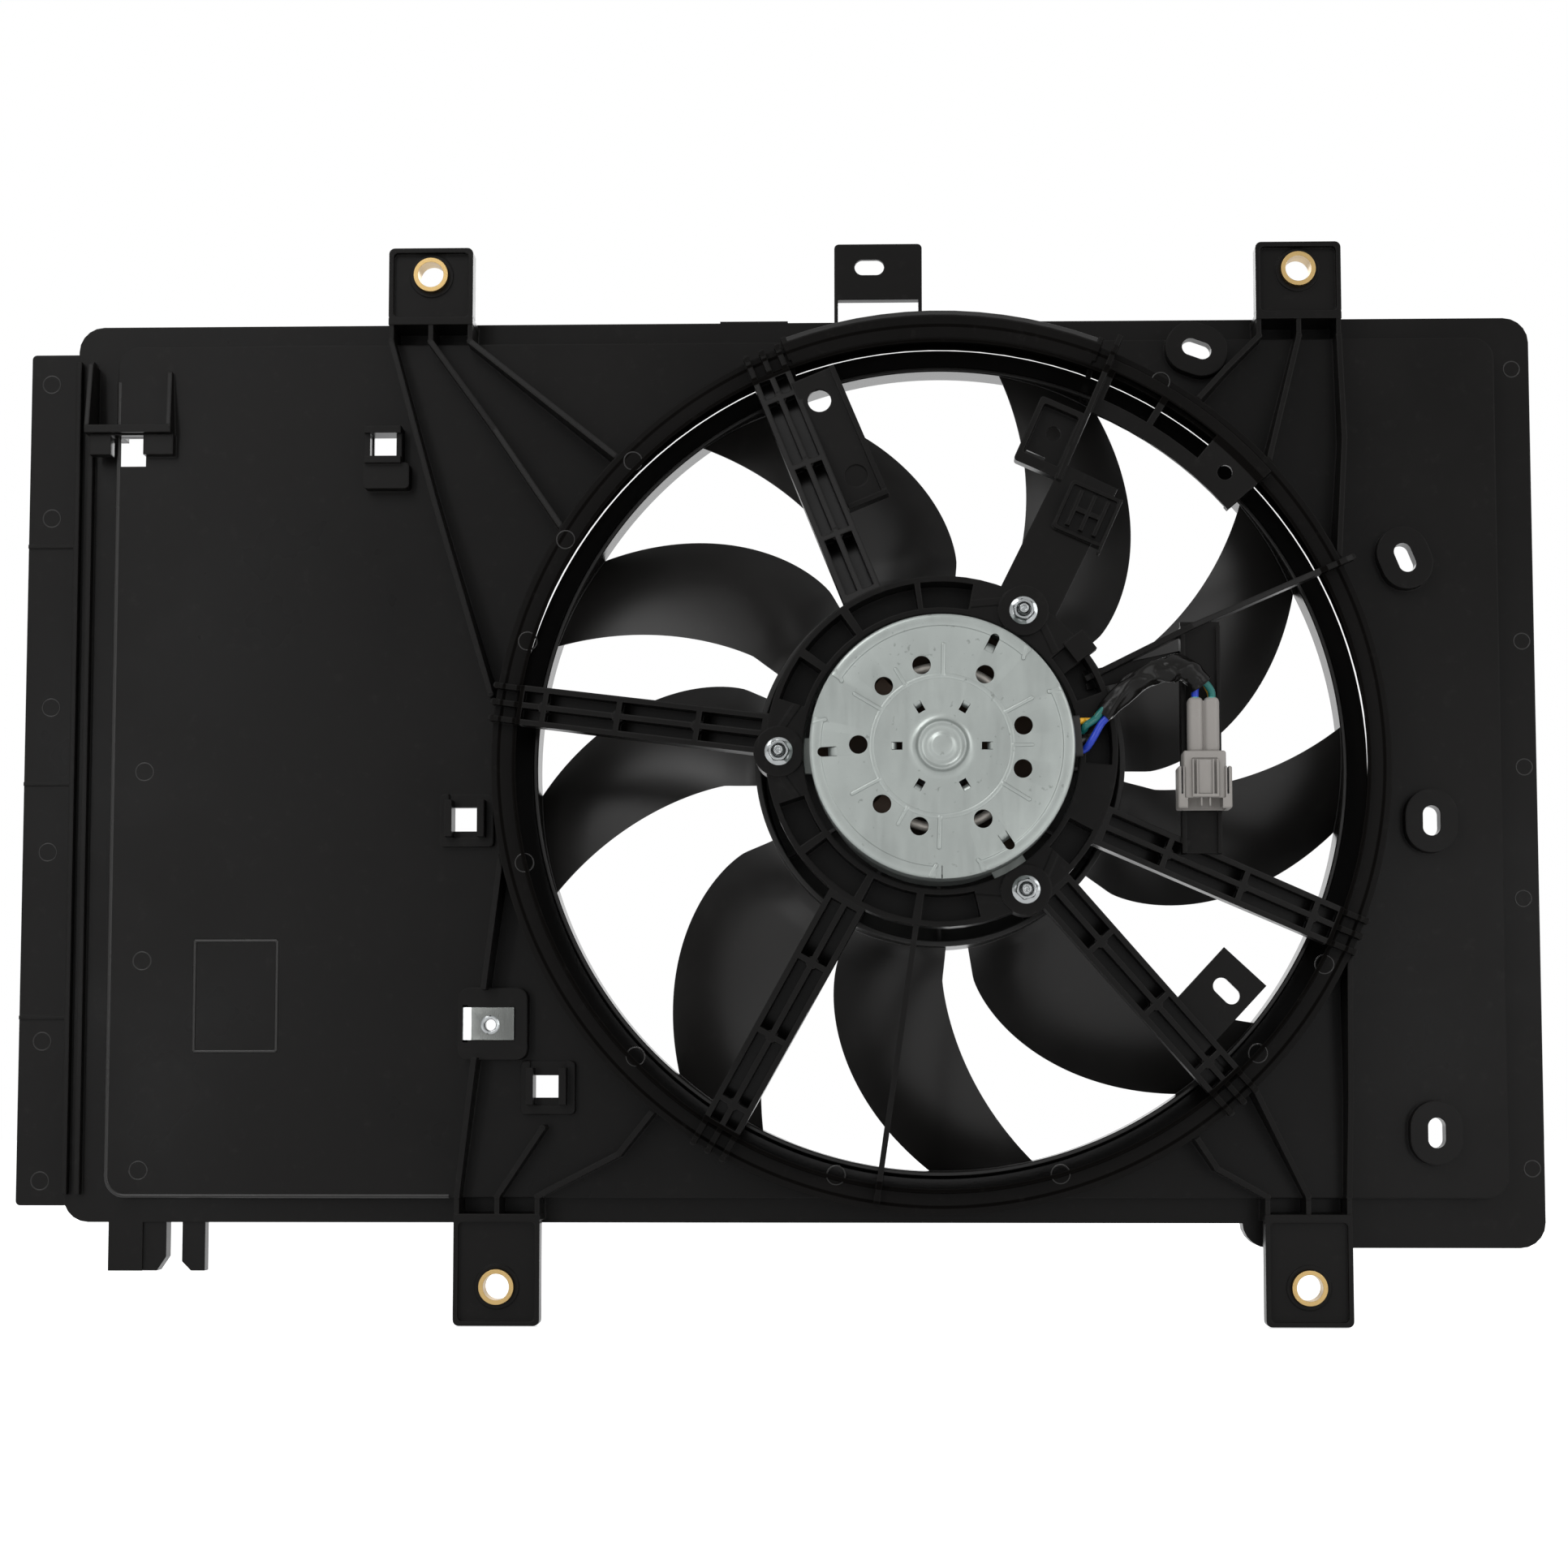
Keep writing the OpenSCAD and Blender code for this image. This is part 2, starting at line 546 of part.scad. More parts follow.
// Thin struts to the right of the carrier, the rail for the connector and the clips
module right_struts() {
  // Fin that runs up and right to the ring
  c = carrier_h;
  fin([60, 30], [105, 53], c - 14, c - 24, c - 5, c - 12, rib_t);
  fin([105, 53], [176, 86.5], c - 24, ring_h - 1, c - 12, lip_h + 3, rib_t);
  bar(rib_t/2 + 0.2, ring_h, lip_h + 2.5, 176, 86.5);
  fin([60, 30], [103, 40], c - 14, c - 22, c - 12, c - 20, 8);
  // Rail with two side ribs
  out(rail_h, rail_h + wall) translate([rail_x0, -42]) square([rail_x1 - rail_x0, 97]);
  for (x = [rail_x0 + 0.9, rail_x1 - 0.9])
    fin([x, -42], [x, 53], rail_h - 4, rail_h - 6, rail_h + 5, rail_h + 5, 1.8);
  // Pegs that the connector's housing snaps on
  for (z = [-14, 8]) out(rail_h + wall - eps, conn_h0) translate([conn_x - 3, z]) square([6, 5]);
  // Wide plate to the upper right and its fin
  fin([36, 62], [64, 120], c - 12, mid_h(0.29), c - 9.5, mid_h(0.345), 26);
  fin([50.5, 118], [78, 182], mid_h(0.25), ring_h, mid_h(0.42), lip_h + 8, rib_t);
  // Clip seat on the plate: a square tray with three bars and one across them
  h = mid_h(0.4);
  translate([62, 0, 102]) rotate([0, 24, 0]) {
    difference() {
      out(h, h + 8.5) rrect(-11.5, -11, 11.5, 11, 1.5);
      out(h + 6.5, h + 9.5) rrect(-10, -9.5, 10, 9.5, 1);
      out(h - 2, h + 4.5) rrect(-9.5, -9, 9.5, 9, 1);
    }
    for (x = [-6.6, -0.6, 5.4]) out(h + 6, h + 10) translate([x, -8]) square([1.8, 16]);
    out(h + 6, h + 9.6) translate([-5, -1]) square([11, 2]);
    fin([11, -14], [11, 11], h + 4, h + 4, h + 10, h + 10, 1.2);
  }
  // Clip bracket beside that fin
  e = mid_h(0.21);
  rotate([0, 24, 0]) difference() {
    out(e, e + 8) rrect(-23, 129, -2.5, 159, 1.5);
    out(e + 2.5, e + 9) rrect(-20.5, 133.5, -4.5, 156.5, 1);
    out(e - 1, e + 6) rrect(-20, 131, -11, 136, 0.5);
    bar(3, e - 10, e + 10, -12, 147);
  }
  // Thin rod to the lower side of the ring
  fin([-10.5, -71], [-27.5, -187.5], c - 14, ring_h - 1, c - 4, lip_h + 2, rib_t);
  // Flexible hook for the lead
  rotate([0, -37, 0]) {
    out(c - 10, c - 7.5) translate([carrier_r - 13, -5]) square([17, 10]);
    out(c - 10, c - 1) translate([carrier_r + 2, -5]) square([2, 10]);
    out(c - 3, c - 1) translate([carrier_r - 6, -5]) square([9, 10]);
  }
}

// Plate over the ring at the upper right, with two windows and a hole
module arc_cover() {
  h = lip_h + 2;
  difference() {
    union() {
      turned(25.5, 41) polygon([[163, h], [163, h + wall], [188, h + wall], [188, h]]);
      turned(25.5, 41) polygon([[186, ring_h - 1], [186, h + wall], [188, h + wall],
        [188, ring_h - 1]]);
      rotate([0, -41, 0]) out(h - 3, h + wall) translate([163, 0]) square([25, 2]);
    }
    turned(7, 58.5) polygon([[170, h - 5], [170, h + 5], [183, h + 5], [183, h - 5]]);
    turned(8, 49.5) polygon([[170, h - 5], [170, h + 5], [183, h + 5], [183, h - 5]]);
    c = polar(173.2, 45.2);
    bar(3.2, h - 4, h + 4, c[0], c[1]);
  }
}

// Slotted lug beside the fourth arm
module arm_lug() {
  h = ring_h + 6;
  difference() {
    fin([101, -117], [128, -88], h, h, h + wall, h + wall, 24);
    out(h - 1, h + 5) slot(120, -98.3, SLOT_L, 7, -45);
  }
  fin([101, -117], [116, -135], h, ring_h, h + wall, ring_h + wall, 10);
}

// Hollow panel with the bore for the fan
module panel_shell() {
  difference() {
    union() {
      out(0, border_h) panel_outline();
      out(border_h - 1, plateau_h) plateau_outline();
      bar(barrel_r + wall - eps, 0, plateau_h);
    }
    out(-1, border_h - wall) panel_outline(wall);
    out(border_h - wall - 1, plateau_h - wall) plateau_outline(wall);
    bar(barrel_r + 1, -1, plateau_h + 1);
  }
}

module shroud() {
  color("#232120") difference() {
    union() {
      panel_shell();
      difference() {
        tab_ribs();
        out(plateau_h - wall - 1, lip_h + 9) translate([PAD[0] - 14, PAD[1] - 14.5]) square([28, 29]);
      }
      for (i = [0:3]) tab_body(BUSHES[i], i < 2 ? 1 : -1);
      for (s = OVALS) out(plateau_h - 1, plateau_h + BOSS_STAND) slot(s[0], s[1], 27.5, 22.5, s[2]);
      clip_blocks();
      foot_hooks();
      clip_pad();
      seal_strip();
      top_tab();
      ring_wall();
      difference() {
        union() {
          carrier_solid();
          for (a = ARMS) arm_solid(a);
        }
        carrier_cuts();
        for (a = ARMS) arm_pockets(a);
      }
      for (a = ARMS) arm_pads(a);
      right_struts();
      side_bracket();
      arc_cover();
      arm_lug();
    }
    window_cuts();
    for (s = OVALS) out(-1, plateau_h + BOSS_STAND + 1) slot(s[0], s[1], SLOT_L, SLOT_W, s[2]);
    out(-1, plateau_h - 0.8) slot(OVALS[0][0], OVALS[0][1], SLOT_L + 8, SLOT_W + 8, OVALS[0][2]);
    for (c = BUSHES) bar(bush_r + fit, tab_h - 12, tab_h + 2, c[0], c[1]);
    bar(3.2, plateau_h - wall - 2, PAD_H + 2, PAD[0] - 0.9, PAD[1] - 0.5);
  }
}

// Brass sleeve that takes the bolt's load in a tab
module bush(c) {
  color("#b08a3e") difference() {
    bar(bush_r, bush_h0, bush_h0 + bush_len, c[0], c[1]);
    bar(bush_bore_r, bush_h0 - 1, bush_h0 + bush_len + 1, c[0], c[1]);
  }
}
module bush_top_left() { bush(BUSHES[0]); }
module bush_top_right() { bush(BUSHES[1]); }
module bush_bottom_left() { bush(BUSHES[2]); }
module bush_bottom_right() { bush(BUSHES[3]); }

// Spring steel U-nut pushed over the pad's edge
module clip_nut() {
  t = 0.9;
  x0 = PAD[0] - 12.4;
  color("#c9cbcc") difference() {
    union() {
      out(PAD_H, PAD_H + t) translate([x0, PAD[1] - 7.4]) square([22, 14.8]);
      out(PAD_H - wall - t, PAD_H - wall) translate([x0, PAD[1] - 6.5]) square([18, 13]);
      out(PAD_H - wall - t, PAD_H + t) translate([x0, PAD[1] - 6.5]) square([t, 13]);
      bar(4, PAD_H - wall - 4, PAD_H - wall - t + eps, PAD[0] - 0.9, PAD[1] - 0.5);
      bar(4.2, PAD_H, PAD_H + t + 0.5, PAD[0] - 0.9, PAD[1] - 0.5);
    }
    bar(2.5, PAD_H - 10, PAD_H + 5, PAD[0] - 0.9, PAD[1] - 0.5);
  }
}

// Fan blade: edges as angles that grow with the radius, and axial depth that shrinks
function sweep(r, tip) = let(u = max(0, (r - 92)/80)) tip*pow(u, 1.35);
function edge_low(r) = sweep(r, 25.5);
function edge_high(r) = 28.8 + sweep(r, 12) + 1.2*max(0, 1 - (r - 79)/14);
function blade_depth(r) = root_depth + (band_w - 2 - root_depth)*(r - blade_r0)/(blade_r1 - blade_r0);
// Height over the chord: the low edge is at the radiator side, with a slight camber
function blade_h(r, c) = fan_h0 + 1 + blade_depth(r)*(c + 0.1*sin(180*c));
function blade_thick(c) = blade_t*(0.35 + 0.65*sin(180*min(1, 0.12 + 0.88*c)));
function blade_pt(r, c, side) =
  let(a = edge_low(r) + (edge_high(r) - edge_low(r))*c, h = blade_h(r, c) + side*blade_thick(c)/2)
  [r*cos(a), -h, r*sin(a)];

module blade() {
  n = BLADE_RINGS;
  m = BLADE_CHORD;
  rs = [for (i = [0:n]) blade_r0 + (blade_r1 - blade_r0)*i/n];
  pts = [for (r = rs) each concat([for (j = [0:m]) blade_pt(r, j/m, 1)],
    [for (j = [m:-1:0]) blade_pt(r, j/m, -1)])];
  k = 2*(m + 1);
  side_faces = [for (i = [0:n - 1], j = [0:k - 1])
    each [[i*k + j, (i + 1)*k + (j + 1)%k, (i + 1)*k + j],
      [i*k + j, i*k + (j + 1)%k, (i + 1)*k + (j + 1)%k]]];
  // End caps are strips from one side of the blade to the other
  cap_low = [for (j = [0:m - 1]) each [[j, k - 2 - j, j + 1], [j, k - 1 - j, k - 2 - j]]];
  cap_top = [for (t = cap_low) [n*k + t[2], n*k + t[1], n*k + t[0]]];
  polyhedron(pts, concat(side_faces, cap_low, cap_top));
}

// Blade centre at the reference radius, so that BLADE_ANGLES are where blades are seen
blade_ref_r = 156;
blade_ref = (edge_low(blade_ref_r) + edge_high(blade_ref_r))/2;

module fan() {
  hub_h1 = fan_h0 + hub_depth;
  color("#1d1b1a") difference() {
    union() {
      turned() polygon([[hub_r - 3, fan_h0], [hub_r - 1, fan_h0 + 0.6], [hub_r, fan_h0 + 3],
        [hub_r, hub_h1], [hub_r - wall, hub_h1], [hub_r - wall, fan_h0 + 3], [24, fan_h0 + 3],
        [20, dish_h + wall], [insert_r + 3, dish_h + wall], [insert_r + 3, insert_h1],
        [insert_r + fit, insert_h1], [insert_r + fit, dish_h], [18, dish_h], [22, fan_h0]]);
      for (a = BLADE_ANGLES) rotate([0, blade_ref - a, 0]) blade();
      turned() polygon([[band_r, fan_h0], [band_r, fan_h0 + band_w],
        [band_r + 2.2, fan_h0 + band_w], [band_r + 2.6, fan_h0 + 2],
        [band_flange_r, fan_h0 + 2], [band_flange_r, fan_h0]]);
      for (i = [0:11]) fin(polar(insert_r + 2, i*30), polar(hub_r - 1.9, i*30),
        fan_h0 + 2, fan_h0 + 2, insert_h1 - 4, fan_h0 + 9, 1.6);
    }
    bar(insert_r + fit, fan_h0 - 1, insert_h1 + 1);
    turned() polygon([[0, -1], [0, dish_h], [18, dish_h], [22, fan_h0], [22, -1]]);
  }
}

// Metal insert in the hub, bored with a flat for the shaft
flat_x = shaft_r - 1;
module hub_insert() {
  color("#a9abad") difference() {
    union() {
      bar(insert_r, insert_h0, insert_h1);
      bar(insert_r + 2, insert_h0 - 1, insert_h0);
    }
    difference() {
      bar(shaft_r + fit, insert_h0 - 2, insert_h1 + 1);
      out(insert_h0 - 3, insert_h1 + 2) translate([flat_x + fit, -10]) square([10, 20]);
    }
  }
}

module fan_washer() {
  color("#b9bbbd") difference() {
    bar(insert_r + 1, insert_h0 - 1 - washer_t, insert_h0 - 1);
    bar(shaft_thread_r + fit, 0, insert_h0);
  }
}

shaft_thread_r = shaft_r - 1;
fan_nut_h1 = insert_h0 - 1 - washer_t;
module fan_nut() {
  color("#b9bbbd") difference() {
    out(fan_nut_h1 - nut_t, fan_nut_h1) circle(r = 5.8, $fn = 6);
    bar(shaft_thread_r + fit, 0, fan_nut_h1 + 1);
  }
}

// Shaft with a threaded end, a flat in the hub insert and two bearing seats
module motor_shaft() {
  color("#c4c6c8") difference() {
    union() {
      bar(shaft_r, insert_h0 - 1, rear_bearing_h + bearing_w);
      bar(shaft_thread_r, fan_nut_h1 - nut_t - 0.8, insert_h0);
      bar(shaft_r + 1.5, front_bearing_h + bearing_w + 0.2, core_h0 - 2);
    }
    out(insert_h0 - 1 - eps, insert_h1 + 1) translate([flat_x, -10]) square([10, 20]);
  }
}

// Laminated core with twelve slots
SLOTS = 12;
module rotor_core() {
  color("#6d6e70") difference() {
    bar(core_r, core_h0, core_h1);
    bar(shaft_r + fit, core_h0 - 1, core_h1 + 1);
    for (i = [0:SLOTS - 1]) rotate([0, -i*360/SLOTS, 0]) {
      out(core_h0 - 1, core_h1 + 1) slot(core_r - 11, 0, 16, 7, 0);
      out(core_h0 - 1, core_h1 + 1) translate([core_r - 5, -1]) square([8, 2]);
    }
  }
}

// Copper coils: bars in the slots and rounded end turns
module armature_winding() {
  color("#b4622d") {
    for (i = [0:SLOTS - 1]) rotate([0, -i*360/SLOTS, 0]) {
      out(core_h0 - 3, core_h1 + 2) slot(core_r - 11, 0, 15.4, 6.4, 0);
    }
    for (h = [core_h0 - 5, core_h1 + 0.3]) difference() {
      turned() translate([core_r - 24, h]) rrect(0, 0, 20, 3.2 + (h < core_h1 ? 1.5 : 0), 1.5);
      bar(shaft_r + 2, core_h0 - 10, core_h1 + 10);
    }
  }
}

// Commutator: copper bars on a moulded sleeve
module commutator() {
  color("#b87333") difference() {
    union() {
      bar(comm_r, comm_h0, comm_h1);
      bar(comm_r + 2, comm_h0, comm_h0 + 1.5);
    }
    bar(shaft_r + fit, comm_h0 - 1, comm_h1 + 1);
    for (i = [0:SLOTS*2 - 1]) rotate([0, -i*180/SLOTS, 0])
      out(comm_h0 - 1, comm_h1 + 1) translate([comm_r - 1.2, -0.25]) square([4, 0.5]);
  }
}

// Ball bearings: races with a groove, and a ball set held by its cage
module inner_race(h0) {
  color("#c8cacc") turned() difference() {
    translate([shaft_r + fit, h0]) square([bearing_r0 + 1 - shaft_r - fit - 0.2, bearing_w]);
    translate([ball_mid_r, h0 + bearing_w/2]) circle(ball_r + fit);
  }
}
module outer_race(h0) {
  color("#c8cacc") turned() difference() {
    translate([bearing_r1 - 1.2, h0]) square([2.2, bearing_w]);
    translate([ball_mid_r, h0 + bearing_w/2]) circle(ball_r + fit);
  }
}
BALLS = 7;
module ball_set(h0) {
  color("#d2d4d6") {
    for (i = [0:BALLS - 1]) rotate([0, -i*360/BALLS, 0])
      translate([ball_mid_r, -h0 - bearing_w/2, 0]) sphere(ball_r, $fn = FINE);
    turned() translate([ball_mid_r - 0.3, h0 + bearing_w/2 - 1.2]) square([0.6, 2.4]);
  }
}
module front_inner_race() { inner_race(front_bearing_h); }
module rear_inner_race() { inner_race(rear_bearing_h); }
module front_outer_race() { outer_race(front_bearing_h); }
module rear_outer_race() { outer_race(rear_bearing_h); }
module front_ball_set() { ball_set(front_bearing_h); }
module rear_ball_set() { ball_set(rear_bearing_h); }

// Deep drawn can with the front bearing seat and three ears for the studs
seat_r = bearing_r1 + 1 + fit;
ear_h1 = carrier_h0 - 0.1;
module motor_can() {
  color("#8f9392") difference() {
    union() {
      turned() polygon([[can_r - sheet_t, can_h1], [can_r, can_h1], [can_r, motor_h0 + 3],
        [can_r - 3, motor_h0], [seat_r + sheet_t, motor_h0],
        [seat_r + sheet_t, front_bearing_h - sheet_t], [shaft_r + 1, front_bearing_h - sheet_t],
        [shaft_r + 1, front_bearing_h], [seat_r, front_bearing_h],
        [seat_r, motor_h0 + sheet_t], [can_r - 3, motor_h0 + sheet_t],
        [can_r - sheet_t, motor_h0 + 3 + sheet_t]]);
      for (a = STUD_ANGLES) {
        c = polar(stud_circle_r, a);
        fin(polar(can_r - 1, a), polar(stud_circle_r - 4.5, a), ear_h1 - 3, ear_h1 - 3, ear_h1,
          ear_h1, 15);
        bar(8, ear_h1 - 3, ear_h1, c[0], c[1]);
      }
    }
    bar(can_r - sheet_t - eps, motor_h0 + 8, can_h1 + 1);
    for (a = STUD_ANGLES) {
      c = polar(stud_circle_r, a);
      bar(stud_r - fit, ear_h1 - 4, ear_h1 + 1, c[0], c[1]);
    }
    for (a = [10:60:359]) rotate([0, -a, 0])
      out(motor_h0 - 1, motor_h0 + 2 + sheet_t) slot(34, 0, 18, 8, 90);
  }
}

// Pressed end cap with vents, bent tongues, the rear bearing pocket and a bead round its rim
CAP_HOLES = [14, 59, 104];
cap_hole_r = 3.8;
cap_hole_circle = 34.2;
module motor_end_cap() {
  color("#a7aeaa") difference() {
    union() {
      turned() polygon([[0, cap_in_h], [0, cap_h + 2.1], [4, cap_h + 2.1],
        [5.2, cap_h + 1], [8.4, cap_h + 1], [9.6, cap_h + 2.2], [10.6, cap_h + 2],
        [11.4, cap_h - 0.6], [cap_r - 5.4, cap_h - 0.6], [cap_r - 4.8, cap_h],
        [cap_r - 1.2, cap_h], [cap_r, cap_h - 1.2], [cap_r, carrier_h - 6],
        [cap_r - sheet_t, carrier_h - 6], [cap_r - sheet_t, cap_in_h]]);
      turned() polygon([[seat_r, rear_bearing_h], [seat_r, cap_h - sheet_t],
        [seat_r + sheet_t, cap_h - sheet_t], [seat_r + sheet_t, rear_bearing_h]]);
      cap_beads();
    }
    for (k = [0:2], a = CAP_HOLES) {
      c = polar(cap_hole_circle, a + 120*k);
      bar(cap_hole_r, cap_h - 6, cap_h + 3, c[0], c[1]);
    }
    for (a = [0:60:359]) rotate([0, -a, 0])
      out(cap_h - 4, cap_h + 3) translate([16.2, -1.6]) square([2.6, 3.2]);
    for (a = [63.8, 182.8, 304]) rotate([0, -a, 0])
      out(cap_h - 4, cap_h + 3) slot(47, 0, 7.8, 3.8, 0);
  }
}

// Raised beads on the cap's face
module cap_beads() {
  for (a = [92, 212, 332]) fin(polar(27, a), polar(39, a), cap_h - 1, cap_h - 1,
    cap_h + 0.3, cap_h + 0.3, 1.4);
  for (a = [145, 215, 32, 328, 265]) fin(polar(26, a), polar(37, a), cap_h - 1, cap_h - 1,
    cap_h + 0.3, cap_h + 0.3, 1.4);
  turned() polygon([[25.6, cap_h - 1], [25.6, cap_h - 0.2], [26.6, cap_h - 0.2],
    [26.6, cap_h - 1]]);
}

// Four arc magnets held in the can
module field_magnets() {
  color("#3c3d40") for (i = [0:3]) turned(72, i*90 + 9)
    polygon([[magnet_r0, core_h0 - 2], [magnet_r1 - 0.1, core_h0 - 2],
      [magnet_r1 - 0.1, core_h1 + 2], [magnet_r0, core_h1 + 2]]);
}

// Insulating card with four brush boxes
module brush_card() {
  h1 = card_h + 1.6;
  color("#4a3a2c") difference() {
    union() {
      difference() {
        bar(can_r - sheet_t - 0.2, card_h, h1);
        bar(comm_r + 3.5, card_h - 1, h1 + 1);
      }
      for (i = [0:3]) rotate([0, -45 - 90*i, 0])
        out(h1 - eps, brush_mid_h + brush_h/2 + 1.4) translate([comm_r + 4, -brush_w/2 - 1.2])
          square([holder_len - 4, brush_w + 2.4]);
    }
    for (i = [0:3]) rotate([0, -45 - 90*i, 0])
      out(brush_mid_h - brush_h/2 - 0.1, brush_mid_h + brush_h/2 + 0.1)
        translate([comm_r, -brush_w/2 - 0.1]) square([holder_len - 1.4, brush_w + 0.2]);
  }
}

// Carbon brush, its inner end a gap away from the commutator
module brush(i) {
  color("#2c2c2e") rotate([0, -45 - 90*i, 0]) difference() {
    out(brush_mid_h - brush_h/2, brush_mid_h + brush_h/2)
      translate([comm_r - 2, -brush_w/2]) square([brush_len + 2, brush_w]);
    bar(brush_in, 0, cap_h);
  }
}
module brush_1() { brush(0); }
module brush_2() { brush(1); }
module brush_3() { brush(2); }
module brush_4() { brush(3); }

// Coil spring behind a brush, drawn as stacked rings that touch a light core line
module brush_spring(i) {
  x0 = comm_r + brush_len + 0.05;
  x1 = comm_r + holder_len - 1.45;
  turns = 6;
  wire = 0.35;
  color("#bfc1c3") rotate([0, -45 - 90*i, 0]) translate([0, -brush_mid_h, 0]) rotate([0, 90, 0]) {
    for (k = [0:turns]) translate([0, 0, x0 + wire + (x1 - x0 - 2*wire)*k/turns])
      rotate_extrude($fn = FINE) translate([1.7, 0]) circle(wire, $fn = 16);
    translate([1.7, 0, x0]) cylinder(r = 0.25, h = x1 - x0, $fn = 16);
  }
}
module brush_spring_1() { brush_spring(0); }
module brush_spring_2() { brush_spring(1); }
module brush_spring_3() { brush_spring(2); }
module brush_spring_4() { brush_spring(3); }

// Studs pressed into the can's ears, and flange nuts on the carrier
stud_h1 = carrier_h + 8;
module mount_studs() {
  color("#c2c4c6") for (a = STUD_ANGLES) {
    c = polar(stud_circle_r, a);
    bar(stud_r, ear_h1 - 3, stud_h1 - 1.5, c[0], c[1]);
    bar(stud_r - 0.7, stud_h1 - 1.6, stud_h1, c[0], c[1]);
    bar(stud_r + 1.6, ear_h1 - 5, ear_h1 - 3, c[0], c[1]);
  }
}
module mount_nuts() {
  color("#cfd1d3") for (a = STUD_ANGLES) {
    c = polar(stud_circle_r, a);
    difference() {
      union() {
        bar(nut_af*0.74, carrier_h, carrier_h + 1.2, c[0], c[1]);
        translate([c[0], -carrier_h - 1.2 + eps, c[1]]) rotate([90, 0, 0])
          cylinder(r = nut_af/sqrt(3), h = 3.8, $fn = 6);
      }
      bar(stud_r + fit, carrier_h - 1, carrier_h + 8, c[0], c[1]);
    }
  }
}

// Rubber grommet in the can's side where the wires leave
exit_a = 5;
exit_h = carrier_h + 7;
module lead_grommet() {
  color("#242424") rotate([0, -exit_a, 0]) difference() {
    translate([cap_r + 0.05, -exit_h, 0]) rotate([0, 90, 0])
      linear_extrude(3) slot(0, 0, 17, 5.4, 0);
    for (i = [0:3]) translate([cap_r - 1, -exit_h, (i - 1.5)*3.9]) rotate([0, 90, 0])
      cylinder(r = wire_r + fit, h = 6, $fn = FINE);
  }
}

// Lead: four wires from the grommet into the sleeve, then on to the connector
SLEEVE_ROUTE = [for (p = [[66, 6, 13], [72, 5, 20], [79, 3, 26.5], [87, 1.5, 31],
  [95, 0, 33.5], [101, -1.5, 33], [105, -3, 30]]) [p[0], -carrier_h - p[1], p[2]]];
sleeve_r = 3.9;
wire_pitch = wire_r + 0.1;
wire_play = 0.05;
SIDE = [[-1, 1], [-1, -1], [1, 1], [1, -1]];
// A point of a sleeve's end, beside its centre line for wire i
function bundle_pt(i, end, ahead, reach = [wire_pitch, wire_pitch]) =
  let(n = len(SLEEVE_ROUTE) - 1, k = end > 0 ? n : 0,
  t = unit(SLEEVE_ROUTE[end > 0 ? n : 1] - SLEEVE_ROUTE[end > 0 ? n - 1 : 0]),
  a = unit(cross(t, [0.13, 1, 0.21])), b = cross(t, a))
  SLEEVE_ROUTE[k] + t*end*ahead + reach[0]*SIDE[i][0]*a + reach[1]*SIDE[i][1]*b;
// The grommet's bore of wire i, and its tower in the connector
function grommet_pt(i, out_mm) = let(k = (i - 1.5)*3.9, r = cap_r + 0.2 + out_mm)
  [r*cos(exit_a) - k*sin(exit_a), -exit_h, r*sin(exit_a) + k*cos(exit_a)];
function tower_pt(i, above) = [conn_x + SIDE[i][0]*tower_x, -conn_h - SIDE[i][1]*tower_h,
  conn_top + 1 + above];
function wire_mid(i) = grommet_pt(i, 3.4)*0.65 + bundle_pt(i, -1, 3.4)*0.35
  + bundle_pt(i, -1, 0, [0.5, 2.2]) - SLEEVE_ROUTE[0];
function wire_in(i) = [grommet_pt(i, 0), grommet_pt(i, 3.4), wire_mid(i),
  bundle_pt(i, -1, 3.4), bundle_pt(i, -1, wire_play)];
function wire_out(i) = [bundle_pt(i, 1, wire_play), bundle_pt(i, 1, 1.6), tower_pt(i, 2.6),
  tower_pt(i, wire_play)];

// A tube swept along points, as one closed solid
function unit(v) = v/norm(v);
function tangent(p, i) = unit(p[min(i + 1, len(p) - 1)] - p[max(i - 1, 0)]);
module tube(p, r, sides) {
  up = [0.13, 1, 0.21];
  pts = [for (i = [0:len(p) - 1]) let(t = tangent(p, i), a = unit(cross(t, up)), b = cross(t, a))
    each [for (j = [0:sides - 1]) p[i] + r*(a*cos(360*j/sides) + b*sin(360*j/sides))]];
  n = len(p) - 1;
  polyhedron(pts, concat([[for (j = [0:sides - 1]) j]],
    [for (i = [0:n - 1], j = [0:sides - 1]) each [
      [i*sides + j, (i + 1)*sides + j, (i + 1)*sides + (j + 1)%sides],
      [i*sides + j, (i + 1)*sides + (j + 1)%sides, i*sides + (j + 1)%sides]]],
    [[for (j = [sides - 1:-1:0]) n*sides + j]]));
}

module wire(i, shade) {
  color(shade) {
    tube(wire_in(i), wire_r, 8);
    tube(wire_out(i), wire_r, 8);
  }
}
module wire_yellow() { wire(3, "#d9a520"); }
module wire_green() { wire(2, "#1f8f80"); }
module wire_black() { wire(1, "#1c1c1c"); }
module wire_blue() { wire(0, "#1f3fd0"); }
module lead_sleeve() { color("#1b1a1a") tube(SLEEVE_ROUTE, sleeve_r, 12); }

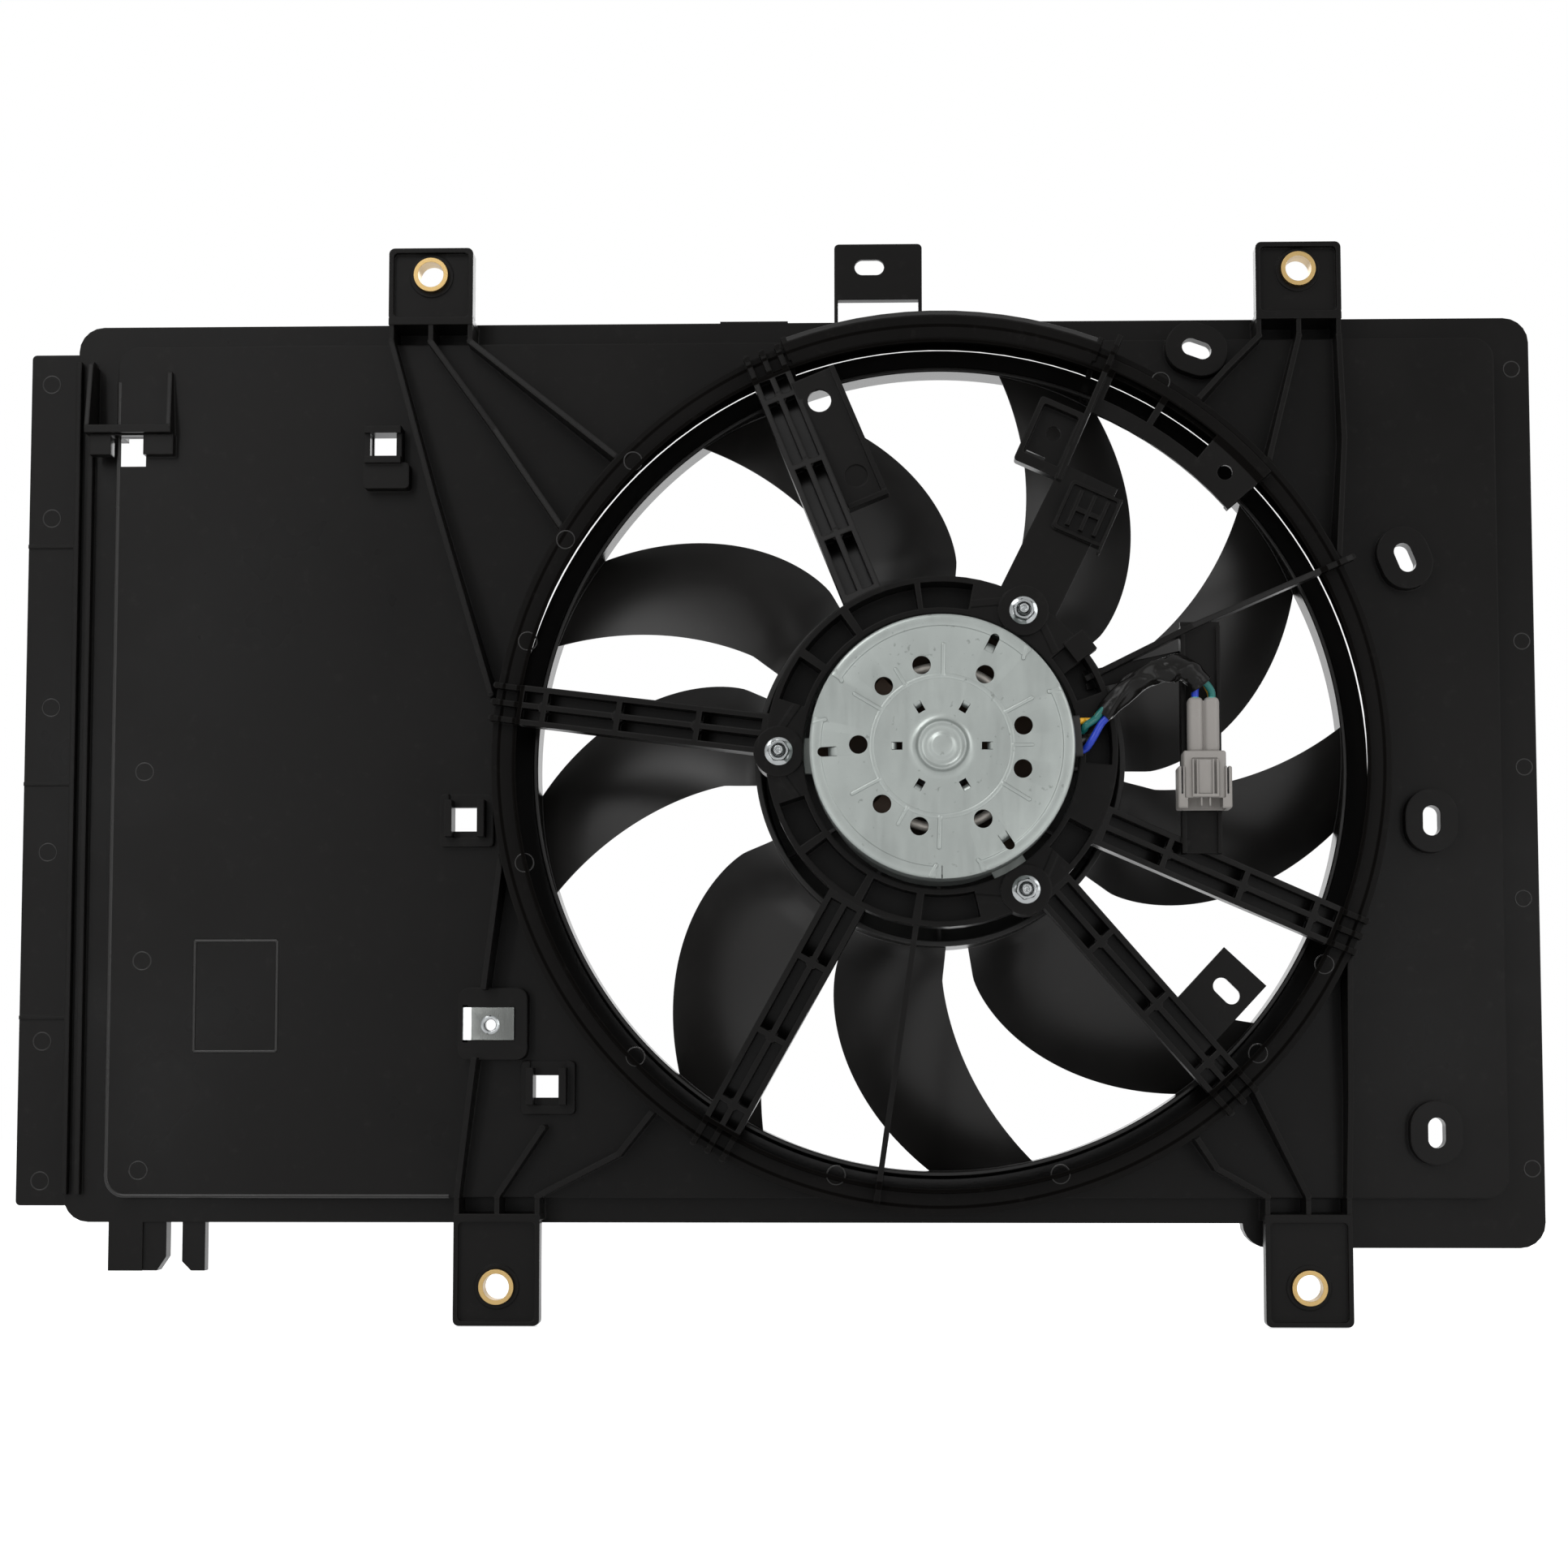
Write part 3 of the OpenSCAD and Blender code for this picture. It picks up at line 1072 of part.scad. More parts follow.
// Connector: two rear towers, a body with ribs and a flared mouth
tower_x = 3.3;
tower_h = 2.2;
mouth_depth = 14;
module at_towers(z) {
  for (c = SIDE) translate([conn_x + c[0]*tower_x, -conn_h - c[1]*tower_h, z]) children();
}
module connector_housing() {
  flare = 2.6;
  color("#aaa6a1") difference() {
    union() {
      for (s = [-1, 1]) out(conn_h - 4.6, conn_h + 4.6)
        rrect(conn_x + s*tower_x - 3.2, conn_split - 1, conn_x + s*tower_x + 3.2, conn_top, 1.2);
      out(conn_h - conn_d/2, conn_h + conn_d/2)
        rrect(conn_x - conn_w/2, conn_end + 2, conn_x + conn_w/2, conn_split, 1.5);
      out(conn_h - conn_d/2, conn_h + conn_d/2 + 1)
        rrect(conn_x - conn_w/2 - flare, conn_end, conn_x + conn_w/2 + flare, conn_flare, 1.5);
      for (s = [-1, 1]) out(conn_h, conn_h + conn_d/2 + 1.6)
        translate([conn_x + s*4.4 - 0.8, conn_end + 3]) square([1.6, conn_split - conn_end - 6]);
    }
    translate([conn_x, -conn_h, conn_end - 1]) linear_extrude(mouth_depth + 1)
      square([conn_w - 3, conn_d - 3], center = true);
    at_towers(conn_end) cylinder(r = seal_r + fit, h = 60, $fn = FINE);
  }
}

// Grey retainer in the mouth that locks the terminals
module connector_retainer() {
  color("#8e8b87") difference() {
    translate([conn_x, -conn_h, conn_end + mouth_depth - 3.9]) linear_extrude(3.8)
      square([conn_w - 3.1, conn_d - 3.1], center = true);
    at_towers(conn_end) cylinder(r = terminal_r + fit, h = 30, $fn = FINE);
  }
}

terminal_r = 0.9;
module connector_terminals() {
  color("#c8b27a") at_towers(conn_end + 6)
    cylinder(r = terminal_r, h = conn_top - 5 - wire_play - conn_end - 6, $fn = FINE);
}

// Seals at the back of the towers where the wires enter
seal_r = 1.65;
module connector_seals() {
  color("#4f8f86") at_towers(conn_top - 5) cylinder(r = seal_r, h = 6, $fn = FINE);
}

shroud();
bush_top_left();
bush_top_right();
bush_bottom_left();
bush_bottom_right();
clip_nut();
fan();
hub_insert();
fan_washer();
fan_nut();
motor_shaft();
rotor_core();
armature_winding();
commutator();
front_inner_race();
rear_inner_race();
front_outer_race();
rear_outer_race();
front_ball_set();
rear_ball_set();
motor_can();
motor_end_cap();
field_magnets();
brush_card();
brush_1();
brush_2();
brush_3();
brush_4();
brush_spring_1();
brush_spring_2();
brush_spring_3();
brush_spring_4();
mount_studs();
mount_nuts();
lead_grommet();
wire_yellow();
wire_green();
wire_black();
wire_blue();
lead_sleeve();
connector_housing();
connector_retainer();
connector_terminals();
connector_seals();
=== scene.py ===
import json
import math

import bmesh
import bpy
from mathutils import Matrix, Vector


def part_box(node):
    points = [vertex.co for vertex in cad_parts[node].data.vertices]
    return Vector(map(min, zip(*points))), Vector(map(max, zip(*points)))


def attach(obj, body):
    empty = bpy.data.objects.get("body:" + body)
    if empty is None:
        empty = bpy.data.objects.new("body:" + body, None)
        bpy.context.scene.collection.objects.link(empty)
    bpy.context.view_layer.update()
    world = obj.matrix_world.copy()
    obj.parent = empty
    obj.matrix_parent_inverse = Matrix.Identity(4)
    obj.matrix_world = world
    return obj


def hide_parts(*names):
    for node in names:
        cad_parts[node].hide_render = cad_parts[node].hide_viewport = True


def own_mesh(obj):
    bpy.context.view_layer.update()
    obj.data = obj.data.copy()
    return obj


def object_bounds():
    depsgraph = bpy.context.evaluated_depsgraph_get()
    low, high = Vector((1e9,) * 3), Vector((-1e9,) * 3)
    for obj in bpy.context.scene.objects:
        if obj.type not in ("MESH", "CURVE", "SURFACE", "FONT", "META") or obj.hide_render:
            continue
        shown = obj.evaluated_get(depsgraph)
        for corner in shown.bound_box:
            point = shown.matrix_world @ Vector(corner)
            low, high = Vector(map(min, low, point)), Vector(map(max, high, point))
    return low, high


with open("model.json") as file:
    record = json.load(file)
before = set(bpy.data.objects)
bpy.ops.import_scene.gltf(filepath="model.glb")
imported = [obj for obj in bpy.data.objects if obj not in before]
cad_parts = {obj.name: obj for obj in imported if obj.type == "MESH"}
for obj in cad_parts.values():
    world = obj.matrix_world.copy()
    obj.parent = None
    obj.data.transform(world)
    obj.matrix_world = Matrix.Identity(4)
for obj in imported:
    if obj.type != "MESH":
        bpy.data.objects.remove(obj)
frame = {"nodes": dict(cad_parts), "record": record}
cad_lo, cad_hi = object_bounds()
NODES = frame["nodes"]
RECORD = frame["record"]
scene = bpy.context.scene

# Camera at the photograph's viewing angle
LOOK = Vector((-0.0308, 0.9954, 0.0910))
cam_data = bpy.data.cameras.new("camera")
cam_data.sensor_width = 36.0
cam_data.lens = 78.26
cam_data.clip_start = 0.05
cam = bpy.data.objects.new("camera", cam_data)
cam.location = (-0.0217, -1.5, -0.1421)
cam.rotation_mode = "QUATERNION"
cam.rotation_quaternion = LOOK.to_track_quat("-Z", "Y")
scene.collection.objects.link(cam)
scene.camera = cam

scene.view_settings.view_transform = "Standard"


# Node helpers
class Tree:
    """A node tree with short calls for its nodes and links"""

    def __init__(self, tree):
        self.tree = tree

    def new(self, kind, **values):
        """A shader node: in_NAME sets the input NAME, any other name sets an attribute"""
        n = self.tree.nodes.new("ShaderNode" + kind)
        for k, v in values.items():
            if k.startswith("in_"):
                n.inputs[k[3:].replace("_", " ")].default_value = v
            else:
                setattr(n, k, v)
        return n

    def link(self, a, b):
        self.tree.links.new(a, b)

    def math(self, op, a, b=None):
        m = self.new("Math", operation=op)
        for i, v in enumerate((a, b)):
            if v is None:
                continue
            if isinstance(v, (int, float)):
                m.inputs[i].default_value = v
            else:
                self.link(v, m.inputs[i])
        return m.outputs[0]

    def blend(self, fac, a, b):
        """a where fac is 0, b where it is 1"""
        rest = self.math("SUBTRACT", 1.0, fac)
        return self.math("ADD", self.math("MULTIPLY", rest, a), self.math("MULTIPLY", fac, b))

    def seeing_rays(self):
        """1 for camera, transmission and glossy rays, 0 for those that only bring light"""
        rays = self.new("LightPath").outputs
        straight = self.math("MAXIMUM", rays["Is Camera Ray"], rays["Is Transmission Ray"])
        return self.math("MAXIMUM", straight, rays["Is Glossy Ray"])


class Nodes(Tree):
    """A material, its shader and its object coordinates"""

    def __init__(self, name):
        self.mat = bpy.data.materials.new(name)
        self.mat.use_nodes = True
        super().__init__(self.mat.node_tree)
        self.shader = self.tree.nodes["Principled BSDF"]
        self.coord = self.new("TexCoord").outputs["Object"]

    def xyz(self):
        split = self.new("SeparateXYZ")
        self.link(self.coord, split.inputs["Vector"])
        return split.outputs

    def radius(self):
        """The distance from the fan's axis, in metres"""
        axes = self.xyz()
        x2, z2 = (self.math("MULTIPLY", axes[k], axes[k]) for k in "XZ")
        return self.math("SQRT", self.math("ADD", x2, z2))

    def scaled(self, vector):
        m = self.new("Mapping", in_Scale=vector)
        self.link(self.coord, m.inputs["Vector"])
        return m.outputs["Vector"]

    def noise(self, scale, detail=3.0, rough=0.5, vector=None):
        n = self.new("TexNoise", in_Scale=scale, in_Detail=detail, in_Roughness=rough)
        self.link(vector or self.coord, n.inputs["Vector"])
        return n.outputs["Fac"]

    def ramp(self, fac, first, last):
        """Two colours, each at its position, and what lies between them"""
        r = self.new("ValToRGB")
        for element, (position, colour) in zip(r.color_ramp.elements, (first, last)):
            element.position, element.color = position, (*colour, 1)
        self.link(fac, r.inputs["Fac"])
        return r.outputs["Color"]

    def map_range(self, fac, lo, hi, to_lo, to_hi):
        m = self.new("MapRange", in_From_Min=lo, in_From_Max=hi, in_To_Min=to_lo, in_To_Max=to_hi)
        self.link(fac, m.inputs["Value"])
        return m.outputs["Result"]

    def mix(self, fac, a, b):
        """A mix of two colours, which are the inputs 6 and 7 and the output 2 of its node"""
        m = self.new("Mix", data_type="RGBA")
        self.link(fac, m.inputs["Factor"])
        for i, v in ((6, a), (7, b)):
            if isinstance(v, tuple):
                m.inputs[i].default_value = (*v, 1)
            else:
                self.link(v, m.inputs[i])
        return m.outputs[2]

    def soft_edges(self, radius):
        return self.new("Bevel", samples=4, in_Radius=radius).outputs["Normal"]

    def edge_mask(self, radius, gain):
        """1 along convex and concave edges, 0 on the flats"""
        d = self.new("VectorMath", operation="DOT_PRODUCT")
        self.link(self.soft_edges(radius), d.inputs[0])
        self.link(self.new("NewGeometry").outputs["Normal"], d.inputs[1])
        away = self.math("SUBTRACT", 1.0, d.outputs["Value"])
        c = self.new("Clamp")
        self.link(self.math("MULTIPLY", away, gain), c.inputs["Value"])
        return c.outputs["Result"]

    def bump(self, height, strength, distance, normal):
        b = self.new("Bump", in_Strength=strength, in_Distance=distance)
        self.link(height, b.inputs["Height"])
        self.link(normal, b.inputs["Normal"])
        return b.outputs["Normal"]


MATERIALS = {}
# Noise scales, per metre
FLOW, SCUFFS, WARP, CLOUDS, SPOTS, METAL_GRAIN = 14.0, 160.0, 7.0, 28.0, 420.0, 900.0
# Depths of the bumps and reach of the painted highlights along edges, in metres
GRAIN_DEPTH, WARP_DEPTH, EDGE_HIGHLIGHT_REACH, EDGE_GLINT_REACH = 0.0001, 0.004, 0.0008, 0.00022
# Radii in metres: the start of the fan's band, then the ring's lip, inner wall and flange
BAND_START = (0.1735, 0.1750)
LIP_IN, LIP_OUT, WALL_IN, WALL_OUT, FLANGE_OUT = 0.1802, 0.1834, 0.1886, 0.1896, 0.1930
RING_FADE, LIP_FADE = 0.0004, 0.0003
FLANGE_LEVEL = 0.05
# Near-white colour of the clip's rolled fold: a painted highlight
FOLD_HIGHLIGHT = (0.86, 0.88, 0.88)


def plastic(name, colour, lighter, rough, level=0.3, grain=1400.0, bevel=0.0005, warp=0.0,
            band_rough=None, spread=1.35, edge=1.6, matt_ring=False):
    """Moulded plastic: flow marks, a fine grain, a slight warp and a painted highlight that makes
    its edges paler
    """
    m = Nodes(name)
    flow = m.noise(FLOW, 4.0, 0.6)
    base = m.ramp(flow, (0.3, colour), (0.72, tuple(c * spread for c in colour)))
    scuff = m.map_range(m.noise(SCUFFS, 5.0, 0.7), 0.58, 0.78, 0.0, 0.35)
    base = m.mix(scuff, base, lighter)
    # Painted highlight: the edges are mixed towards the lighter colour
    base = m.mix(m.edge_mask(EDGE_HIGHLIGHT_REACH, edge), base, lighter)
    m.link(base, m.shader.inputs["Base Color"])
    gloss = m.map_range(flow, 0.3, 0.7, rough - 0.05, rough + 0.06)
    if band_rough is not None:
        # The fan's band is polished, and the hub and blades are not
        gloss = m.blend(m.map_range(m.radius(), *BAND_START, 0.0, 1.0), gloss, band_rough)
    m.link(gloss, m.shader.inputs["Roughness"])
    m.shader.inputs["Specular IOR Level"].default_value = level
    if matt_ring:
        # The ring's lip and inner wall don't shine, and its flange shines less than the panel
        r = m.radius()
        on_ring = m.math("MULTIPLY", m.map_range(r, LIP_IN - RING_FADE, LIP_IN, 0.0, 1.0),
                         m.map_range(r, FLANGE_OUT, FLANGE_OUT + RING_FADE, 1.0, 0.0))
        beside_wall = m.math("MAXIMUM", m.map_range(r, WALL_IN - RING_FADE, WALL_IN, 1.0, 0.0),
                             m.map_range(r, WALL_OUT, WALL_OUT + RING_FADE, 0.0, 1.0))
        past_lip = m.map_range(r, LIP_OUT, LIP_OUT + LIP_FADE, 0.0, FLANGE_LEVEL)
        ring_level = m.math("MULTIPLY", past_lip, beside_wall)
        m.link(m.blend(on_ring, level, ring_level), m.shader.inputs["Specular IOR Level"])
    normal = m.bump(m.noise(grain, 2.0), 0.18, GRAIN_DEPTH, m.soft_edges(bevel))
    if warp:
        normal = m.bump(m.noise(WARP, 2.0, 0.45), warp, WARP_DEPTH, normal)
    m.link(normal, m.shader.inputs["Normal"])
    MATERIALS[name] = m.mat


def metal(name, colour, rough, metallic=1.0, spots=0.0, brush=(300.0, 300.0, 40.0), edge=None,
          highlight_left_of=None):
    """Sheet or turned metal: cloudy plating, fine scratches and small dull spots, with painted
    highlights along its edges and on a fold where asked
    """
    m = Nodes(name)
    cloud = m.noise(CLOUDS, 5.0, 0.6)
    base = m.ramp(cloud, (0.32, tuple(c * 0.86 for c in colour)), (0.68, colour))
    if spots:
        dots = m.map_range(m.noise(SPOTS, 2.0, 0.4), 0.70, 0.78, 0.0, spots)
        base = m.mix(dots, base, tuple(c * 0.35 for c in colour))
    # Painted highlight: the edges are mixed towards a near-white colour
    if edge:
        base = m.mix(m.edge_mask(EDGE_GLINT_REACH, 4.0), base, edge)
    # Painted highlight: the rolled fold left of this X is near white
    if highlight_left_of is not None:
        left = m.map_range(m.xyz()["X"], highlight_left_of - 0.0006, highlight_left_of, 1.0, 0.0)
        base = m.mix(left, base, FOLD_HIGHLIGHT)
    m.link(base, m.shader.inputs["Base Color"])
    m.shader.inputs["Metallic"].default_value = metallic
    lines = m.noise(1.0, 3.0, 0.6, m.scaled(brush))
    m.link(m.map_range(lines, 0.3, 0.7, rough - 0.07, rough + 0.08), m.shader.inputs["Roughness"])
    height = m.math("ADD", m.math("MULTIPLY", m.noise(METAL_GRAIN, 2.0), 0.4),
                    m.math("MULTIPLY", lines, 0.6))
    m.link(m.bump(height, 0.12, GRAIN_DEPTH, m.soft_edges(0.0004)), m.shader.inputs["Normal"])
    MATERIALS[name] = m.mat


plastic("shroud_plastic", (0.0031, 0.0028, 0.0026), (0.018, 0.017, 0.016), 0.31, 0.10,
        bevel=0.0009, warp=0.25, edge=1.8, matt_ring=True)
plastic("fan_plastic", (0.0084, 0.0079, 0.0075), (0.022, 0.0215, 0.021), 0.35, 0.26, warp=0.12,
        band_rough=0.14)
metal("brass", (0.45, 0.31, 0.13), 0.34, brush=(60.0, 900.0, 60.0))
# The zinc's near-white edges are a painted highlight
metal("zinc_steel", (0.33, 0.345, 0.35), 0.17, edge=(0.92, 0.94, 0.95))
metal("insert_metal", (0.55, 0.56, 0.57), 0.35)
metal("shaft_steel", (0.6, 0.61, 0.62), 0.22, brush=(50.0, 900.0, 50.0))
metal("lamination_steel", (0.2, 0.2, 0.21), 0.45, brush=(3.0, 2200.0, 3.0))
metal("copper", (0.62, 0.27, 0.11), 0.3, brush=(20.0, 1400.0, 20.0))
metal("bearing_steel", (0.62, 0.63, 0.65), 0.16)
metal("can_steel", (0.31, 0.335, 0.32), 0.38, 0.85, 0.3)
metal("cap_steel", (0.300, 0.324, 0.311), 0.36, 0.7, 0.5)
plastic("ferrite", (0.035, 0.036, 0.038), (0.08, 0.08, 0.085), 0.6)
plastic("card_plastic", (0.06, 0.035, 0.02), (0.12, 0.08, 0.05), 0.55)
plastic("carbon", (0.02, 0.02, 0.021), (0.06, 0.06, 0.06), 0.5)
metal("spring_steel", (0.6, 0.61, 0.62), 0.25)
plastic("grommet_rubber", (0.014, 0.014, 0.014), (0.03, 0.03, 0.03), 0.6)
plastic("insulation_yellow", (0.72, 0.38, 0.02), (0.8, 0.5, 0.1), 0.35, 0.4)
plastic("insulation_green", (0.004, 0.095, 0.084), (0.02, 0.19, 0.17), 0.3, 0.3)
plastic("insulation_black", (0.011, 0.011, 0.011), (0.04, 0.04, 0.04), 0.35, 0.4)
plastic("insulation_blue", (0.009, 0.032, 0.34), (0.04, 0.09, 0.55), 0.3, 0.3)
plastic("tape", (0.0040, 0.0037, 0.0034), (0.009, 0.0085, 0.008), 0.17, 0.13, grain=600.0)
plastic("connector_plastic", (0.235, 0.221, 0.207), (0.33, 0.315, 0.3), 0.42, 0.3, spread=1.12)
plastic("retainer_plastic", (0.27, 0.255, 0.24), (0.36, 0.35, 0.33), 0.45, 0.4)
metal("tinned_brass", (0.62, 0.52, 0.3), 0.3)
# A paler copy of the shroud plastic: a painted highlight on the marks, the frame and the field's
# edge
plastic("mark_highlight_plastic", (0.0085, 0.008, 0.0075), (0.024, 0.023, 0.022), 0.27, 0.3)
# A pale, nearly matt steel: a painted highlight for the strips behind the vents
metal("strip_glint", (0.60, 0.56, 0.51), 0.5, 0.25)
# The clip's bright edges and near-white left fold are painted highlights
metal("clip_zinc", (0.12, 0.125, 0.12), 0.26, spots=0.3, edge=(0.5, 0.52, 0.51),
      highlight_left_of=-0.2017)
plastic("seal_rubber", (0.07, 0.26, 0.23), (0.15, 0.35, 0.32), 0.6)
for part in RECORD["subparts"]:
    for s in NODES[part["node"]].material_slots:
        s.material = MATERIALS[part["material_slot"]]


# Mesh helpers: points are (X, height towards the engine, Z) in millimetres
MM = 0.001
CUT_SMOOTH = 32.0
BOX_FACES = [(0, 1, 3, 2), (4, 6, 7, 5), (0, 4, 5, 1), (2, 3, 7, 6), (1, 5, 7, 3), (0, 2, 6, 4)]


def clean_mesh(name, verts, faces):
    """A mesh in metres, without double points and with its normals outward"""
    mesh = bpy.data.meshes.new(name)
    mesh.from_pydata([(x * MM, -h * MM, z * MM) for x, h, z in verts], [], faces)
    bm = bmesh.new()
    bm.from_mesh(mesh)
    bmesh.ops.remove_doubles(bm, verts=bm.verts, dist=1e-7)
    bmesh.ops.recalc_face_normals(bm, faces=bm.faces)
    bm.to_mesh(mesh)
    bm.free()
    return mesh


def place(name, verts, faces, slot, body="housing", smooth=40.0, replaces=(), look=None):
    """A new piece of the slot's material, or of the look, that rides on the body"""
    mesh = clean_mesh(name, verts, faces)
    mesh.shade_smooth()
    if smooth < 180:
        mesh.set_sharp_from_angle(angle=math.radians(smooth))
    mesh.materials.append(MATERIALS[look or slot])
    ob = bpy.data.objects.new(name, mesh)
    scene.collection.objects.link(ob)
    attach(ob, body)
    if replaces:
        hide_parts(*replaces)
    return ob


def cut(ob, cutter):
    """Takes the closed mesh cutter, a (verts, faces) pair, away from a piece"""
    tool = bpy.data.objects.new("cutter", clean_mesh("cutter", *cutter))
    scene.collection.objects.link(tool)
    mod = ob.modifiers.new("cut", "BOOLEAN")
    mod.operation, mod.object, mod.solver = "DIFFERENCE", tool, "EXACT"
    bpy.context.view_layer.update()
    evaluated = ob.evaluated_get(bpy.context.evaluated_depsgraph_get())
    done = bpy.data.meshes.new_from_object(evaluated)
    ob.modifiers.clear()
    done.name = ob.data.name
    done.shade_smooth()
    done.set_sharp_from_angle(angle=math.radians(CUT_SMOOTH))
    ob.data = done
    bpy.data.objects.remove(tool)


def grid_faces(rows, cols, close_rows=False, close_cols=True, at=0):
    faces = []
    for i in range(rows if close_rows else rows - 1):
        for j in range(cols if close_cols else cols - 1):
            a, b = i, (i + 1) % rows
            c, d = j, (j + 1) % cols
            faces.append((at + a * cols + c, at + b * cols + c,
                          at + b * cols + d, at + a * cols + d))
    return faces


def end_faces(rows, cols):
    """The first and the last row of a grid, each as one face"""
    last = (rows - 1) * cols
    return [tuple(range(cols)), tuple(last + j for j in reversed(range(cols)))]


def join(*parts):
    verts, faces = [], []
    for v, f in parts:
        at = len(verts)
        verts += v
        faces += [tuple(i + at for i in face) for face in f]
    return verts, faces


def at_angle(r, degrees, h=0.0, aside=0.0):
    """The point at radius r from the fan's axis, aside being measured across the radius"""
    a = math.radians(degrees)
    return (r * math.cos(a) - aside * math.sin(a), h, r * math.sin(a) + aside * math.cos(a))


def lathe(profile, x=0.0, z=0.0, sides=48, closed=True, start=0.0, sweep=360.0):
    """A profile of (radius, height) turned about X, Z

    A radius may be a function of the angle in degrees, and a height one of angle and radius.
    """
    full = sweep >= 360.0
    n = sides if full else sides + 1
    verts = []
    for r, h in profile:
        for j in range(n):
            degrees = start + sweep * j / sides
            here = r(degrees) if callable(r) else r
            a = math.radians(degrees)
            verts.append((x + here * math.cos(a), h(degrees, here) if callable(h) else h,
                          z + here * math.sin(a)))
    faces = grid_faces(len(profile), n, close_rows=closed, close_cols=full)
    if not full:
        faces.append(tuple(i * n for i in range(len(profile))))
        faces.append(tuple(i * n + n - 1 for i in reversed(range(len(profile)))))
    return verts, faces


def pin(radius, h0, h1, x, z, sides):
    """A plain cylinder"""
    return lathe([(0, h0), (radius, h0), (radius, h1), (0, h1)], x, z, sides)


def smooth_line(points, steps):
    """A Catmull-Rom curve through the points"""
    p = [Vector(q) for q in points]
    p = [p[0] * 2 - p[1]] + p + [p[-1] * 2 - p[-2]]
    out = []
    for i in range(1, len(p) - 2):
        for s in range(steps):
            t = s / steps
            a, b, c, d = p[i - 1], p[i], p[i + 1], p[i + 2]
            out.append(0.5 * (2 * b + (c - a) * t + (2 * a - 5 * b + 4 * c - d) * t * t
                              + (3 * b - a - 3 * c + d) * t ** 3))
    out.append(p[-2])
    return out


def swept(points, radius, sides, swell=None):
    """A closed tube along points, the radius altered by swell(place, angle)"""
    up = Vector((0.13, -1, 0.21))
    verts = []
    n = len(points)
    for i, q in enumerate(points):
        t = (points[min(i + 1, n - 1)] - points[max(i - 1, 0)]).normalized()
        a = t.cross(up).normalized()
        b = t.cross(a)
        for j in range(sides):
            w = 2 * math.pi * j / sides
            r = radius + (swell(i / (n - 1), w) if swell else 0.0)
            verts.append(tuple(q + r * (a * math.cos(w) + b * math.sin(w))))
    return verts, grid_faces(n, sides) + end_faces(n, sides)


def bar_along(p, q, width, h0, h1, sides=24):
    """A low rounded ridge between two points, standing from h0 to h1"""
    n = Vector((q[0] - p[0], q[2] - p[2])).normalized()
    s = Vector((-n.y, n.x))
    rows = ((1.0, h0), (0.92, h0 + (h1 - h0) * 0.55), (0.68, h0 + (h1 - h0) * 0.9), (0.35, h1))
    verts = []
    for scale, h in rows:
        for k in range(sides):
            a = 2 * math.pi * k / sides
            end = q if math.cos(a) > 0 else p
            o = (n * math.cos(a) + s * math.sin(a)) * width / 2 * scale
            verts.append((end[0] + o.x, h, end[2] + o.y))
    return verts, grid_faces(len(rows), sides) + end_faces(len(rows), sides)


def rounded_box(x0, x1, h0, h1, z0, z1, r, segments=3):
    """A block with all its edges rounded"""
    bm = bmesh.new()
    bmesh.ops.create_cube(bm, size=1.0)
    for v in bm.verts:
        v.co = Vector((x0 + (v.co.x + 0.5) * (x1 - x0), h0 + (v.co.y + 0.5) * (h1 - h0),
                       z0 + (v.co.z + 0.5) * (z1 - z0)))
    bmesh.ops.bevel(bm, geom=list(bm.edges), offset=r, segments=segments, profile=0.5,
                    affect="EDGES", clamp_overlap=True)
    verts = [tuple(v.co) for v in bm.verts]
    faces = [tuple(v.index for v in f.verts) for f in bm.faces]
    bm.free()
    return verts, faces


# Fan: smooth blades between the hub and the band
HUB_R, HUB_H1, BAND_R, BAND_FLANGE_R, FAN_H0 = 79.0, 48.0, 174.8, 187.8, 4.0
BLADE_ANGLES = [28, 68, 113, 149, 185, 231, 270, 307.5, 352.5]
BLADE_R0, BLADE_R1, BLADE_T, ROOT_DEPTH, TIP_DEPTH = 77.6, 175.6, 2.6, 34.0, 17.0
ROOT_FILLET, ROOT_FILLET_R = 1.6, 3.0
CHORD, ROOT_FLARE, ROOT_FLARE_R = 28.8, 1.2, 14.0
SWING_R0, SWING_SPAN, SWING_POWER, LOW_SWING, HIGH_SWING = 92.0, 80.0, 1.35, 25.5, 12.0
# Where the middle of a blade was measured for BLADE_ANGLES
MEASURED_R = 156.0


def swing(r, tip):
    return tip * max(0.0, (r - SWING_R0) / SWING_SPAN) ** SWING_POWER


def edge_low(r):
    return swing(r, LOW_SWING)


def edge_high(r):
    flare = ROOT_FLARE * max(0.0, 1 - (r - HUB_R) / ROOT_FLARE_R)
    return CHORD + swing(r, HIGH_SWING) + flare


BLADE_REF = (edge_low(MEASURED_R) + edge_high(MEASURED_R)) / 2


def blade(turn, rings=44, chord=20):
    verts = []
    for i in range(rings + 1):
        part = i / rings
        r = BLADE_R0 + (BLADE_R1 - BLADE_R0) * part
        depth = ROOT_DEPTH + (TIP_DEPTH - ROOT_DEPTH) * part
        root = ROOT_FILLET * max(0.0, 1 - max(0.0, r - HUB_R) / ROOT_FILLET_R) ** 2
        for side, steps in ((1, range(chord + 1)), (-1, range(chord, -1, -1))):
            for j in steps:
                c = j / chord
                a = edge_low(r) + (edge_high(r) - edge_low(r)) * c
                h = FAN_H0 + 1 + depth * (c + 0.1 * math.sin(math.pi * c))
                swelling = math.sin(math.pi * min(1.0, 0.12 + 0.88 * c))
                t = BLADE_T * (0.35 + 0.65 * swelling) + root * 2
                verts.append(at_angle(r, a + turn, max(FAN_H0 + 0.3, h + side * t / 2)))
    around = 2 * (chord + 1)
    return verts, grid_faces(rings + 1, around) + end_faces(rings + 1, around)


